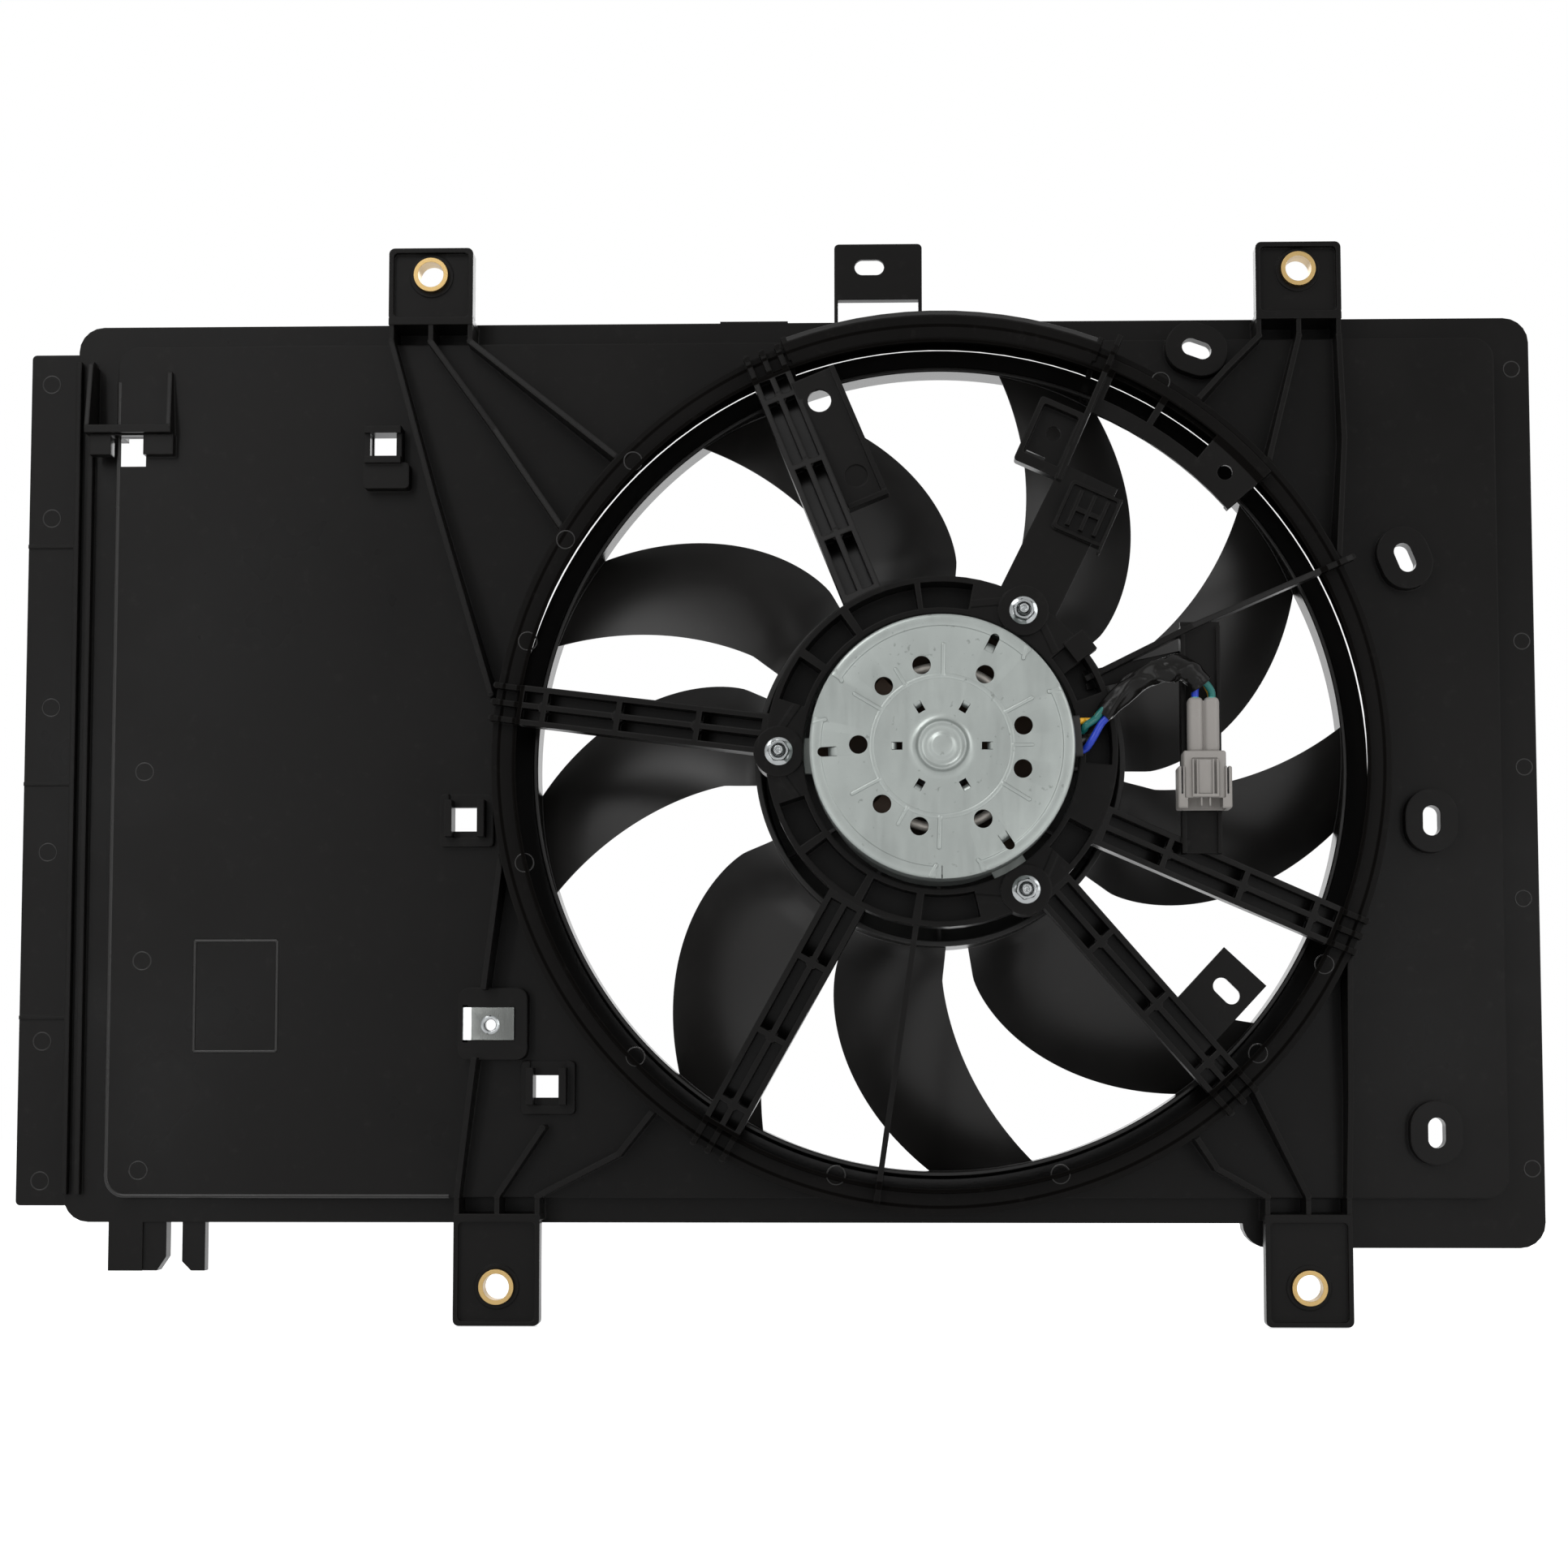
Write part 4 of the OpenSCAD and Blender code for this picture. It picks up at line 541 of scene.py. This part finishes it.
hub = lathe([(76, 4), (77.4, 4.1), (78.4, 4.8), (78.9, 6), (79, 7.5), (79, HUB_H1 - 0.4),
             (78.6, HUB_H1), (76.9, HUB_H1), (76.5, HUB_H1 - 0.4), (76.5, 8.6), (75.8, 7.4),
             (74.6, 7), (26, 7), (24.2, 7.6), (21, 13.6), (19.6, 14.5), (11.4, 14.5), (11, 14.9),
             (11, 25.6), (8.05, 25.6), (8.05, 12), (17.6, 12), (18.8, 11.3), (21.4, 4.8),
             (22.6, 4)], sides=160)
band = lathe([(BAND_R, 4.6), (BAND_R, 22.4), (BAND_R + 0.5, 23), (BAND_R + 1.7, 23),
              (BAND_R + 2.2, 22.4), (BAND_R + 2.5, 7), (BAND_R + 3.6, 6), (BAND_FLANGE_R - 0.4, 6),
              (BAND_FLANGE_R, 5.6), (BAND_FLANGE_R, 4.4), (BAND_FLANGE_R - 0.4, 4),
              (BAND_R + 0.6, 4)], sides=256)
hub_ribs = []
for degrees in range(0, 360, 30):
    inner, outer = at_angle(10.2, degrees), at_angle(76.9, degrees)
    n = Vector((inner[2] - outer[2], outer[0] - inner[0])).normalized() * 0.8
    ends = ((inner, 21.6), (outer, 13.0))
    hub_ribs.append(([(x + n.x * s, h, z + n.y * s) for (x, _, z), top in ends
                      for s in (-1, 1) for h in (6.0, top)], BOX_FACES))
place("fan_moulding", *join(hub, band, *[blade(a - BLADE_REF) for a in BLADE_ANGLES], *hub_ribs),
      "fan_plastic", body="rotor", smooth=38.0, replaces=("fan",))

# Flange nuts with chamfered corners, and the threaded stud ends with their recess
STUDS = [at_angle(67.3, a) for a in (59.5, 180.3, 300.9)]
NUT_TURNS = (12.0, 31.0, 47.0)
NUT_H0, NUT_H1 = 98.0, 103.0
THREAD_H0, THREAD_PITCH, THREAD_TURNS = 100.2, 0.8, 6


def hexagon(apothem, turn=0.0, most=99.0):
    """The radius of a hexagon's wall at an angle in degrees, no more than most"""
    return lambda d: min(most, apothem / math.cos(math.radians((d - turn + 30) % 60 - 30)))


def flange_nut(x, z, turn):
    wall = hexagon(3.95, turn)
    return lathe([
        (2.55, NUT_H0), (5.7, NUT_H0), (5.9, NUT_H0 + 0.25), (5.85, NUT_H0 + 0.6),
        (5.2, NUT_H0 + 1.0), (lambda d: min(5.0, wall(d) + 0.35), NUT_H0 + 1.25),
        (wall, NUT_H0 + 1.6), (wall, lambda d, r: NUT_H1 - 0.15 - max(0.0, r - 3.75) * 0.75),
        (hexagon(3.78, turn, 4.0), NUT_H1 - 0.05), (3.62, NUT_H1), (3.1, NUT_H1),
        (2.55, NUT_H1 - 0.55)], x, z, 96)


stud = [(0.0, 72.9), (3.8, 72.9), (4.1, 73.2), (4.1, 74.6), (3.8, 74.9), (2.5, 74.95), (2.5, 99.6)]
for k in range(THREAD_TURNS):
    h = THREAD_H0 + THREAD_PITCH * k
    stud += [(2.08, h), (2.46, h + 0.38)]
stud += [(2.47, 104.9), (2.05, 105.6), (1.75, 106.0), (1.15, 106.0), (hexagon(0.95, 20), 105.7),
         (hexagon(0.9, 20), 104.7), (0.0, 104.5)]
nuts = [flange_nut(x, z, turn) for (x, _, z), turn in zip(STUDS, NUT_TURNS)]
studs = [lathe(stud, x, z, 48, closed=False) for x, _, z in STUDS]
place("flange_nuts", *join(*nuts), "zinc_steel", smooth=28.0, replaces=("mount_nuts",))
place("stud_ends", *join(*studs), "zinc_steel", smooth=28.0, replaces=("mount_studs",))

# Motor's end cap: pressed sheet with vents, lanced tongues, beads and a stepped rim
CAP_R, CAP_H, CAP_IN, SHEET = 54.4, 116.0, 113.8, 1.6
FACE = CAP_H - 0.6
VENTS = [c + 120 * k for k in range(3) for c in (14, 59, 104)]
INNER_TONGUES, OUTER_TONGUES, RIM_GAPS = range(0, 360, 60), (63.8, 182.8, 304), (37, 157, 277)
cap = place("cap_pressing", *lathe([
    (0, CAP_IN), (0, CAP_H + 1.8), (3.9, CAP_H + 1.8), (4.6, CAP_H + 1.62), (5.4, CAP_H + 1.1),
    (6.2, CAP_H + 0.95), (7.6, CAP_H + 0.95), (8.3, CAP_H + 1.2), (8.9, CAP_H + 1.9),
    (9.3, CAP_H + 2.15), (9.7, CAP_H + 2.15), (10.1, CAP_H + 1.8), (10.6, CAP_H + 0.7),
    (11.5, CAP_H - 0.1), (12.8, FACE + 0.12), (14.4, FACE), (49.0, FACE), (49.3, FACE + 0.1),
    (49.6, FACE + 0.48), (49.95, CAP_H), (53.0, CAP_H), (53.8, CAP_H - 0.25),
    (54.25, CAP_H - 0.75), (CAP_R, CAP_H - 1.4), (CAP_R, 92), (CAP_R - SHEET, 92),
    (CAP_R - SHEET, CAP_IN)], sides=240), "cap_steel", smooth=34.0, replaces=("motor_end_cap",))


def window(r0, r1, half, degrees):
    """A block through the cap from r0 to r1"""
    return [at_angle(r, degrees, h, s) for r in (r0, r1) for s in (-half, half)
            for h in (CAP_H - 4, CAP_H + 3)], BOX_FACES


cutters = []
for a in VENTS:
    x, _, z = at_angle(34.2, a)
    cutters.append(pin(3.8, CAP_H - 7, CAP_H + 3, x, z, 48))
for a in INNER_TONGUES:
    cutters.append(window(16.2, 20.6, 1.6, a))
for a in OUTER_TONGUES:
    cutters.append(window(43.1, 49.0, 1.95, a))
    x, _, z = at_angle(49.0, a)
    cutters.append(pin(1.95, CAP_H - 4.1, CAP_H + 3.1, x, z, 40))
for a in RIM_GAPS:
    cutters.append(lathe([(48.2, FACE), (56, FACE), (56, CAP_H + 2), (48.2, CAP_H + 2)], sides=40,
                         start=a - 10, sweep=20))
for cutter in cutters:
    cut(cap, cutter)


def tongue(degrees, half, rows):
    """A strip of sheet 0.9 thick, bent down along four rows of (radius, height)"""
    verts = [at_angle(r, degrees, h + lift, side * half) for r, h in rows for side in (-1, 1)
             for lift in (0.0, -0.9)]
    faces = []
    for b in (0, 4, 8):
        faces += [(b, b + 4, b + 6, b + 2), (b + 1, b + 3, b + 7, b + 5),
                  (b, b + 1, b + 5, b + 4), (b + 2, b + 6, b + 7, b + 3)]
    return verts, faces + [(0, 2, 3, 1), (12, 13, 15, 14)]


beads = []
for a in (89, 149, 208, 268, 328, 28):
    beads.append(bar_along(at_angle(29.4, a), at_angle(41.6, a), 1.9, FACE - 0.3, FACE + 0.42))
for a in (121, 0.5, 240.5):
    beads.append(bar_along(at_angle(29.2, a), at_angle(36.8, a), 1.7, FACE - 0.3, FACE + 0.34))
beads.append(lathe([(27.8, FACE - 0.3), (27.8, FACE), (28.3, FACE + 0.16), (28.8, FACE + 0.2),
                    (29.3, FACE + 0.16), (29.8, FACE), (29.8, FACE - 0.3)], sides=180))
# Steps at the ends of the raised rim
for a in RIM_GAPS:
    for s in (-1, 1):
        beads.append(bar_along(at_angle(49.0, a + s * 10.2), at_angle(53.2, a + s * 12.6), 2.0,
                               FACE - 0.3, CAP_H + 0.05))
for a in INNER_TONGUES:
    beads.append(tongue(a, 1.45, ((20.75, FACE + 0.02), (20.0, FACE - 0.2), (19.2, FACE - 0.9),
                                  (18.5, FACE - 1.9))))
for a in OUTER_TONGUES:
    beads.append(tongue(a, 1.8, ((42.9, FACE + 0.02), (44.0, FACE - 0.35), (45.4, FACE - 1.2),
                                 (46.6, FACE - 2.4))))
place("cap_pressed_detail", *join(*beads), "cap_steel", smooth=50.0)

# Coils of the brush springs, each a fixed helix in place of its CAD spring
SPRING_IN, SPRING_OUT, SPRING_R, SPRING_WIRE = 27.05, 36.55, 1.7, 0.35
SPRING_TURNS, TURN_STEPS, WIRE_SIDES, BRUSH_TRAVEL = 7, 24, 12, 3.0
HEIGHT = Vector((0, 1, 0))


def coil(along, across, middle):
    """A helix of wire from SPRING_IN to SPRING_OUT, along a direction from the fan's axis"""
    length = SPRING_OUT - SPRING_IN - 2 * SPRING_WIRE
    steps = SPRING_TURNS * TURN_STEPS
    verts = []
    for k in range(steps + 1):
        w = 2 * math.pi * SPRING_TURNS * k / steps
        radial = across * math.cos(w) + HEIGHT * math.sin(w)
        q = along * (SPRING_IN + SPRING_WIRE + length * k / steps) + middle + radial * SPRING_R
        round_it = (HEIGHT * math.cos(w) - across * math.sin(w)) * SPRING_R
        heading = round_it * 2 * math.pi * SPRING_TURNS + along * length
        side = heading.normalized().cross(radial)
        for j in range(WIRE_SIDES):
            v = 2 * math.pi * j / WIRE_SIDES
            verts.append(tuple(q + SPRING_WIRE * (radial * math.cos(v) + side * math.sin(v))))
    return verts, grid_faces(steps + 1, WIRE_SIDES) + end_faces(steps + 1, WIRE_SIDES)


for i in range(4):
    spring = "brush_spring_%d" % (i + 1)
    low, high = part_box(spring)
    middle = HEIGHT * (-(low[1] + high[1]) / 2 / MM)
    turn = math.radians(45 + 90 * i)
    along = Vector((math.cos(turn), 0, math.sin(turn)))
    across = Vector((-math.sin(turn), 0, math.cos(turn)))
    piece = place("brush_spring_coil_%d" % (i + 1), *coil(along, across, middle), "spring_steel",
                  smooth=180.0, replaces=(spring,))
    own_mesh(piece)

# Steel strips inside the motor that are seen through the upper and lower vents; their pale, nearly
# matt look is a painted highlight for the glint seen there
STRIP = [(31.2, 106.4), (31.2, 108.2), (32.2, 109.4), (33.4, 109.8), (34.6, 109.2), (35.2, 107.8),
         (35.2, 106.4)]
strips = [lathe(STRIP, sides=60, start=start, sweep=72) for start in (44, 236)]
place("vent_glint_strips", *join(*strips), "spring_steel", smooth=60.0, look="strip_glint")

# Lead: four wires that run through the tape, at the route of the CAD. These points have the
# frame's Y, which is the height turned negative, and flipped() makes heights of them.
ROUTE = [Vector((x, -98.0 - p, z)) for x, p, z in (
    (66, 6, 13), (72, 5, 20), (79, 3, 26.5), (87, 1.5, 31), (95, 0, 33.5), (101, -1.5, 33),
    (105, -3, 30))]
SIDE = [(-1, 1), (-1, -1), (1, 1), (1, -1)]
UP = Vector((0.13, 1, 0.21))
WIRE_R, WIRE_PITCH, LEAD_ANGLE, LEAD_H = 1.5, 3.9, 5, -105.0
CONN_X, CONN_H, CONN_TOP, CONN_END = 108.3, 92.0, 21.0, -24.5


def flipped(points):
    return [Vector((p.x, -p.y, p.z)) for p in points]


def beside(point, t, i, reach):
    a = t.cross(UP).normalized()
    b = t.cross(a)
    return point + reach[0] * SIDE[i][0] * a + reach[1] * SIDE[i][1] * b


def bundle_pt(i, end, ahead, reach=(1.6, 1.6)):
    """Wire i, ahead of the route's last point, or of its first point if end is -1"""
    p, q = ROUTE[-2:] if end > 0 else ROUTE[:2]
    t = (q - p).normalized()
    return beside((q if end > 0 else p) + t * end * ahead, t, i, reach)


def grommet_pt(i, beyond):
    return Vector(at_angle(CAP_R + 0.2 + beyond, LEAD_ANGLE, LEAD_H, (i - 1.5) * WIRE_PITCH))


def tower_pt(i, above):
    return Vector((CONN_X + SIDE[i][0] * 3.3, -CONN_H - SIDE[i][1] * 2.2, CONN_TOP + 1 + above))


def wire_route(i):
    entry = bundle_pt(i, -1, 3.4)
    first = grommet_pt(i, 3.4) * 0.65 + entry * 0.35 + bundle_pt(i, -1, 0, (0.5, 2.2)) - ROUTE[0]
    pts = [grommet_pt(i, -2.0), grommet_pt(i, 3.4), first, entry, bundle_pt(i, -1, 0.05)]
    for k in range(1, len(ROUTE) - 1):
        t = (ROUTE[k + 1] - ROUTE[k - 1]).normalized()
        pts.append(beside(ROUTE[k], t, i, (1.45, 1.45)))
    pts += [bundle_pt(i, 1, 0.05), bundle_pt(i, 1, 1.6), tower_pt(i, 2.6), tower_pt(i, -3.0)]
    return flipped(pts)


for i, colour in enumerate(("blue", "black", "green", "yellow")):
    place("wire_" + colour + "_insulation", *swept(smooth_line(wire_route(i), 8), WIRE_R, 20),
          "insulation_" + colour, smooth=180.0, replaces=("wire_" + colour,))

# Tape wrapped round the wires: creased, pinched in the middle and flared at its end
TAPE_END, TAPE_SIDES, TAPE_T = Vector((107.2, -94.2, 27.2)), 72, 0.3
TAPE_RADII = [(0.0, 3.3), (0.06, 3.7), (0.2, 4.5), (0.32, 4.9), (0.43, 4.1), (0.5, 4.5),
              (0.62, 5.0), (0.85, 4.9), (0.95, 5.0), (1.0, 5.3)]


def sleeve_radius(t):
    for (a, ra), (b, rb) in zip(TAPE_RADII, TAPE_RADII[1:]):
        if t <= b:
            k = (t - a) / (b - a)
            return ra + (rb - ra) * (k * k * (3 - 2 * k))
    return TAPE_RADII[-1][1]


def crease(t, w):
    fold = 0.95 * max(0.0, math.cos(w - 0.9 - 4.0 * t)) ** 14
    second = 0.8 * max(0.0, math.cos(w - 3.6 + 6.0 * t)) ** 16
    third = 0.6 * max(0.0, math.cos(w - 2.2 - 9.0 * t)) ** 18 * math.exp(-((t - 0.6) / 0.25) ** 2)
    knot = math.exp(-((t - 0.42) / 0.05) ** 2) * (0.7 * math.cos(2 * w + 1.0) - 0.2)
    ripple = 0.22 * math.sin(34 * t + 2.4 * math.sin(w)) * (1 - abs(2 * t - 1)) ** 0.5
    tuck = -0.55 * math.exp(-((t - 0.55 - 0.05 * math.sin(2 * w)) / 0.018) ** 2)
    pull = 0.4 * math.sin(3 * w + 11 * t) * math.exp(-((t - 0.22) / 0.16) ** 2)
    return fold + second + third + knot + ripple + tuck + pull


line = smooth_line(flipped(ROUTE + [TAPE_END]), 18)
rows = len(line)
outside, _ = swept(line, 0.0, TAPE_SIDES, lambda t, w: sleeve_radius(t) + crease(t, w))
inside, _ = swept(line, 0.0, TAPE_SIDES, lambda t, w: sleeve_radius(t) + crease(t, w) - TAPE_T)
at = len(outside)
faces = grid_faces(rows, TAPE_SIDES)
faces += [tuple(reversed(f)) for f in grid_faces(rows, TAPE_SIDES, at=at)]
end = (rows - 1) * TAPE_SIDES
for j in range(TAPE_SIDES):
    k = (j + 1) % TAPE_SIDES
    faces.append((j, k, at + k, at + j))
    faces.append((end + k, end + j, at + end + j, at + end + k))
place("lead_tape", outside + inside, faces, "tape", smooth=60.0, replaces=("lead_sleeve",))


# Connector: rounded towers, a body with wings, rails and an open mouth
def block(x0, x1, h0, h1, z0, z1, r, segments=2):
    """A rounded box about the connector's middle line"""
    return rounded_box(CONN_X + x0, CONN_X + x1, CONN_H + h0, CONN_H + h1, z0, z1, r, segments)


MOUTH = CONN_END - 6
towers = [block(-6.5, -0.15, -4.6, 4.6, -1.6, CONN_TOP + 1.1, 2.2, 5),
          block(0.15, 6.5, -4.6, 4.6, -1.6, CONN_TOP + 1.1, 2.2, 5),
          block(-0.9, 0.9, -3.6, 3.0, -1.6, CONN_TOP - 0.5, 0.3)]
place("connector_towers", *join(*towers), "connector_plastic", smooth=40.0,
      replaces=("connector_housing",))
body = place("connector_body", *block(-8.8, 8.8, -6.5, 6.5, CONN_END + 1.2, -0.5, 1.1, 4),
             "connector_plastic", smooth=40.0)
cut(body, block(-7.3, 7.3, -5.1, 5.1, MOUTH, -10.4, 0.8))
cut(body, block(-5.3, 5.3, 6.0, 9, -19.6, -3.6, 0.25, 1))
wings = place("connector_wings", *block(-11.1, 11.1, -6.5, 7.5, CONN_END, -7.0, 0.9, 4),
              "connector_plastic", smooth=40.0)
cut(wings, block(-8.7, 8.7, -6.0, 6.0, MOUTH, -4.0, 0.3))
cut(wings, block(-8.4, 8.4, 2.0, 12, -20.2, -3.0, 0.5))
cut(wings, block(-9.8, -9.0, -12, 12, -18.6, -3.0, 0.3))
cut(wings, block(9.0, 9.8, -12, 12, -18.6, -3.0, 0.3))
for piece in (body, wings):
    cut(piece, block(-7.2, 7.2, 4.0, 12, MOUTH, -20.1, 0.4))
rails = [block(x0, x1, 4.0, 8.0, -18.8, -4.2, 0.25)
         for x0, x1 in ((-5.25, -4.55), (-3.5, -2.75), (2.95, 3.7), (4.75, 5.6))]
rails += [block(-2.75, 2.95, 4.0, 7.3, -18.4, -4.4, 0.3),
          block(-5.3, 5.7, 3.5, 8.0, -19.9, -18.5, 0.3),
          block(-1.9, -1.2, 4.0, 7.4, -23.6, -19.6, 0.2, 1),
          block(1.6, 2.3, 4.0, 7.4, -23.6, -19.6, 0.2, 1)]
place("connector_rails", *join(*rails), "connector_plastic", smooth=40.0)

# U-nut: a folded strip with a rolled left edge and a raised ring round its hole
PAD_X, PAD_Z, PAD_H = -192.8, -111.3, 32.0
HOLE_X, HOLE_Z, HOLE_R = PAD_X - 0.9, PAD_Z - 0.5, 2.5
STRIP_T, STRIP_HALF, FOLD_R, FOLD_IN_R, FOLD_STEPS = 0.9, 7.0, 2.15, 1.25, 12
fold_x, fold_h = PAD_X - 12.0, PAD_H - 1.25
outline = [(PAD_X + 9.6, PAD_H + STRIP_T), (PAD_X + 9.2, PAD_H + STRIP_T + 0.35)]
for k in range(FOLD_STEPS + 1):
    a = math.pi / 2 + math.pi * k / FOLD_STEPS
    outline.append((fold_x + FOLD_R * math.cos(a) * 0.6, fold_h + FOLD_R * math.sin(a)))
outline += [(PAD_X + 5.6, PAD_H - 3.4), (PAD_X + 5.6, PAD_H - 2.55)]
for k in range(FOLD_STEPS + 1):
    a = -math.pi / 2 - math.pi * k / FOLD_STEPS
    outline.append((fold_x + 0.2 + FOLD_IN_R * math.cos(a) * 0.5, fold_h + FOLD_IN_R * math.sin(a)))
outline.append((PAD_X + 9.6, PAD_H + 0.02))
verts = [(x, h, PAD_Z + s * STRIP_HALF) for s in (-1, 1) for x, h in outline]
faces = grid_faces(2, len(outline)) + end_faces(2, len(outline))
clip = place("clip_nut_strip", verts, faces, "zinc_steel", smooth=30.0, replaces=("clip_nut",),
             look="clip_zinc")
cut(clip, pin(HOLE_R, PAD_H - 6, PAD_H + 5, HOLE_X, HOLE_Z, 40))
raised = [(2.5, PAD_H + 0.5), (2.5, PAD_H + STRIP_T + 0.2), (2.9, PAD_H + STRIP_T + 0.55),
          (3.5, PAD_H + STRIP_T + 0.6), (4.1, PAD_H + STRIP_T + 0.25), (4.3, PAD_H + 0.5)]
barrel = [(2.5, PAD_H - 6.4), (2.5, PAD_H - 2.6), (4.0, PAD_H - 2.6), (4.0, PAD_H - 6.2),
          (3.8, PAD_H - 6.4)]
place("clip_nut_ring", *join(*[lathe(p, HOLE_X, HOLE_Z, 48) for p in (raised, barrel)]),
      "zinc_steel", smooth=35.0)

# Ejector marks, each at a height, X and Z, and the plain frame embossed on the raised field
MARKS = [(10, -395.1, 174.2), (10, -393.9, 113.7), (10, -392.6, 29.0), (10, -392.8, -35.2),
         (10, -393.7, -118.4), (10, -393.5, -179.3), (24, -347.4, -1.0), (24, -347.1, -83.7),
         (24, -347.3, -174.4), (14, 252.4, 176.1), (14, 254.6, 55.5), (14, 254.6, 0.3),
         (14, 253.1, -57), (14, 254.7, -173.5), (50, -131.8, 130.7), (50, -160.7, 96.5),
         (50, -176.9, 52.5), (50, -177.6, -43), (50, -129.7, -125.7), (50, -44.6, -175.7),
         (50, 50.2, -175.2), (50, 133.8, -124.4), (50, 162.3, -86.8), (50, 95.6, 164)]
FRAME_H, FRAME_R, FIELD_H, EDGE_R = 23.95, 0.75, 23.4, 1.0
FIELD_LEFT, FIELD_FOOT, CORNER_X, CORNER_Z, CORNER_R = -361.3, -185.3, -353, -177, 8.3
marks = []
for h, x, z in MARKS:
    r = 3.9 if h != 14 else 3.5
    marks.append(lathe([(r - 0.35, h - 0.3), (r - 0.3, h + 0.05), (r - 0.1, h + 0.16),
                        (r + 0.1, h + 0.16), (r + 0.3, h + 0.05), (r + 0.35, h - 0.3)], x, z, 40))
FRAME = [(-324, -75), (-288, -75), (-288, -123), (-324, -123), (-324, -75)]
corners = [Vector((x, FRAME_H, z)) for x, z in FRAME]
for pair in zip(corners, corners[1:]):
    marks.append(swept(pair, FRAME_R, 16))
# The rounded edge of the raised field, at its left and its foot, paler than the shroud as a painted
# highlight
field_edge = [Vector((FIELD_LEFT, FIELD_H, z)) for z in (172, 120, 60, 0, -60, -120, CORNER_Z)]
for k in range(1, 12):
    a = math.pi + math.pi / 2 * k / 12
    field_edge.append(Vector((CORNER_X + CORNER_R * math.cos(a), FIELD_H,
                              CORNER_Z + CORNER_R * math.sin(a))))
field_edge += [Vector((x, FIELD_H, FIELD_FOOT)) for x in (CORNER_X, -300, -250, -212)]
marks.append(swept(field_edge, EDGE_R, 16))
# The marks, frame and field edge are paler than the shroud: a painted highlight
place("mould_marks", *join(*marks), "shroud_plastic", smooth=60.0, look="mark_highlight_plastic")

# Plain studio: the background is white where it is seen, and the light on the object is softer
world = bpy.data.worlds.new("studio")
scene.world = world
world.use_nodes = True
sky = Tree(world.node_tree)
sky.tree.nodes.clear()
pale = sky.new("Background", in_Color=(1, 1, 1, 1), in_Strength=1.0)
soft = sky.new("Background", in_Color=(0.98, 0.99, 1, 1), in_Strength=0.55)
pick = sky.new("MixShader")
sky.link(sky.seeing_rays(), pick.inputs["Fac"])
sky.link(soft.outputs[0], pick.inputs[1])
sky.link(pale.outputs[0], pick.inputs[2])
sky.link(pick.outputs[0], sky.new("OutputWorld").inputs["Surface"])


def soft_light(name, at, target, width, height, watts):
    data = bpy.data.lights.new(name, "AREA")
    data.shape = "RECTANGLE"
    data.size, data.size_y, data.energy = width, height, watts
    ob = bpy.data.objects.new(name, data)
    ob.location = at
    ob.rotation_mode = "QUATERNION"
    ob.rotation_quaternion = (Vector(target) - Vector(at)).to_track_quat("-Z", "Y")
    scene.collection.objects.link(ob)


soft_light("key", (-0.9, -1.5, 1.3), (0, 0, 0), 1.2, 0.9, 16)
soft_light("fill", (1.4, -1.2, 0.5), (0, 0, 0), 0.9, 1.2, 8)
soft_light("edge", (-0.68, -1.45, 0.12), (-0.35, 0, 0.03), 0.10, 0.95, 2.0)
soft_light("low", (0.5, -1.3, -0.1), (0.1, 0, 0), 0.25, 0.5, 1.0)
soft_light("back", (0.2, 1.6, 0.9), (0, 0, 0), 1.4, 1.0, 9)

# Floor that is white where it is seen, just below the lowest point of the CAD
FLOOR_HALF, FLOOR_DROP, FLOOR_GLOW = 6, 0.0005, 0.72
floor_mesh = bpy.data.meshes.new("floor")
floor_mesh.from_pydata([(-FLOOR_HALF, -FLOOR_HALF, 0), (FLOOR_HALF, -FLOOR_HALF, 0),
                        (FLOOR_HALF, FLOOR_HALF, 0), (-FLOOR_HALF, FLOOR_HALF, 0)],
                       [], [(0, 1, 2, 3)])
floor = bpy.data.objects.new("floor", floor_mesh)
floor.location = (0, 0, cad_lo[2] - FLOOR_DROP)
scene.collection.objects.link(floor)
white = Nodes("floor_white")
white.shader.inputs["Base Color"].default_value = (0.8, 0.8, 0.8, 1)
white.shader.inputs["Roughness"].default_value = 0.9
white.shader.inputs["Specular IOR Level"].default_value = 0.1
glow = white.new("Emission")
white.link(white.math("MULTIPLY", white.seeing_rays(), FLOOR_GLOW), glow.inputs["Strength"])
both = white.new("AddShader")
white.link(white.shader.outputs[0], both.inputs[0])
white.link(glow.outputs[0], both.inputs[1])
white.link(both.outputs[0], white.tree.nodes["Material Output"].inputs["Surface"])
floor_mesh.materials.append(white.mat)
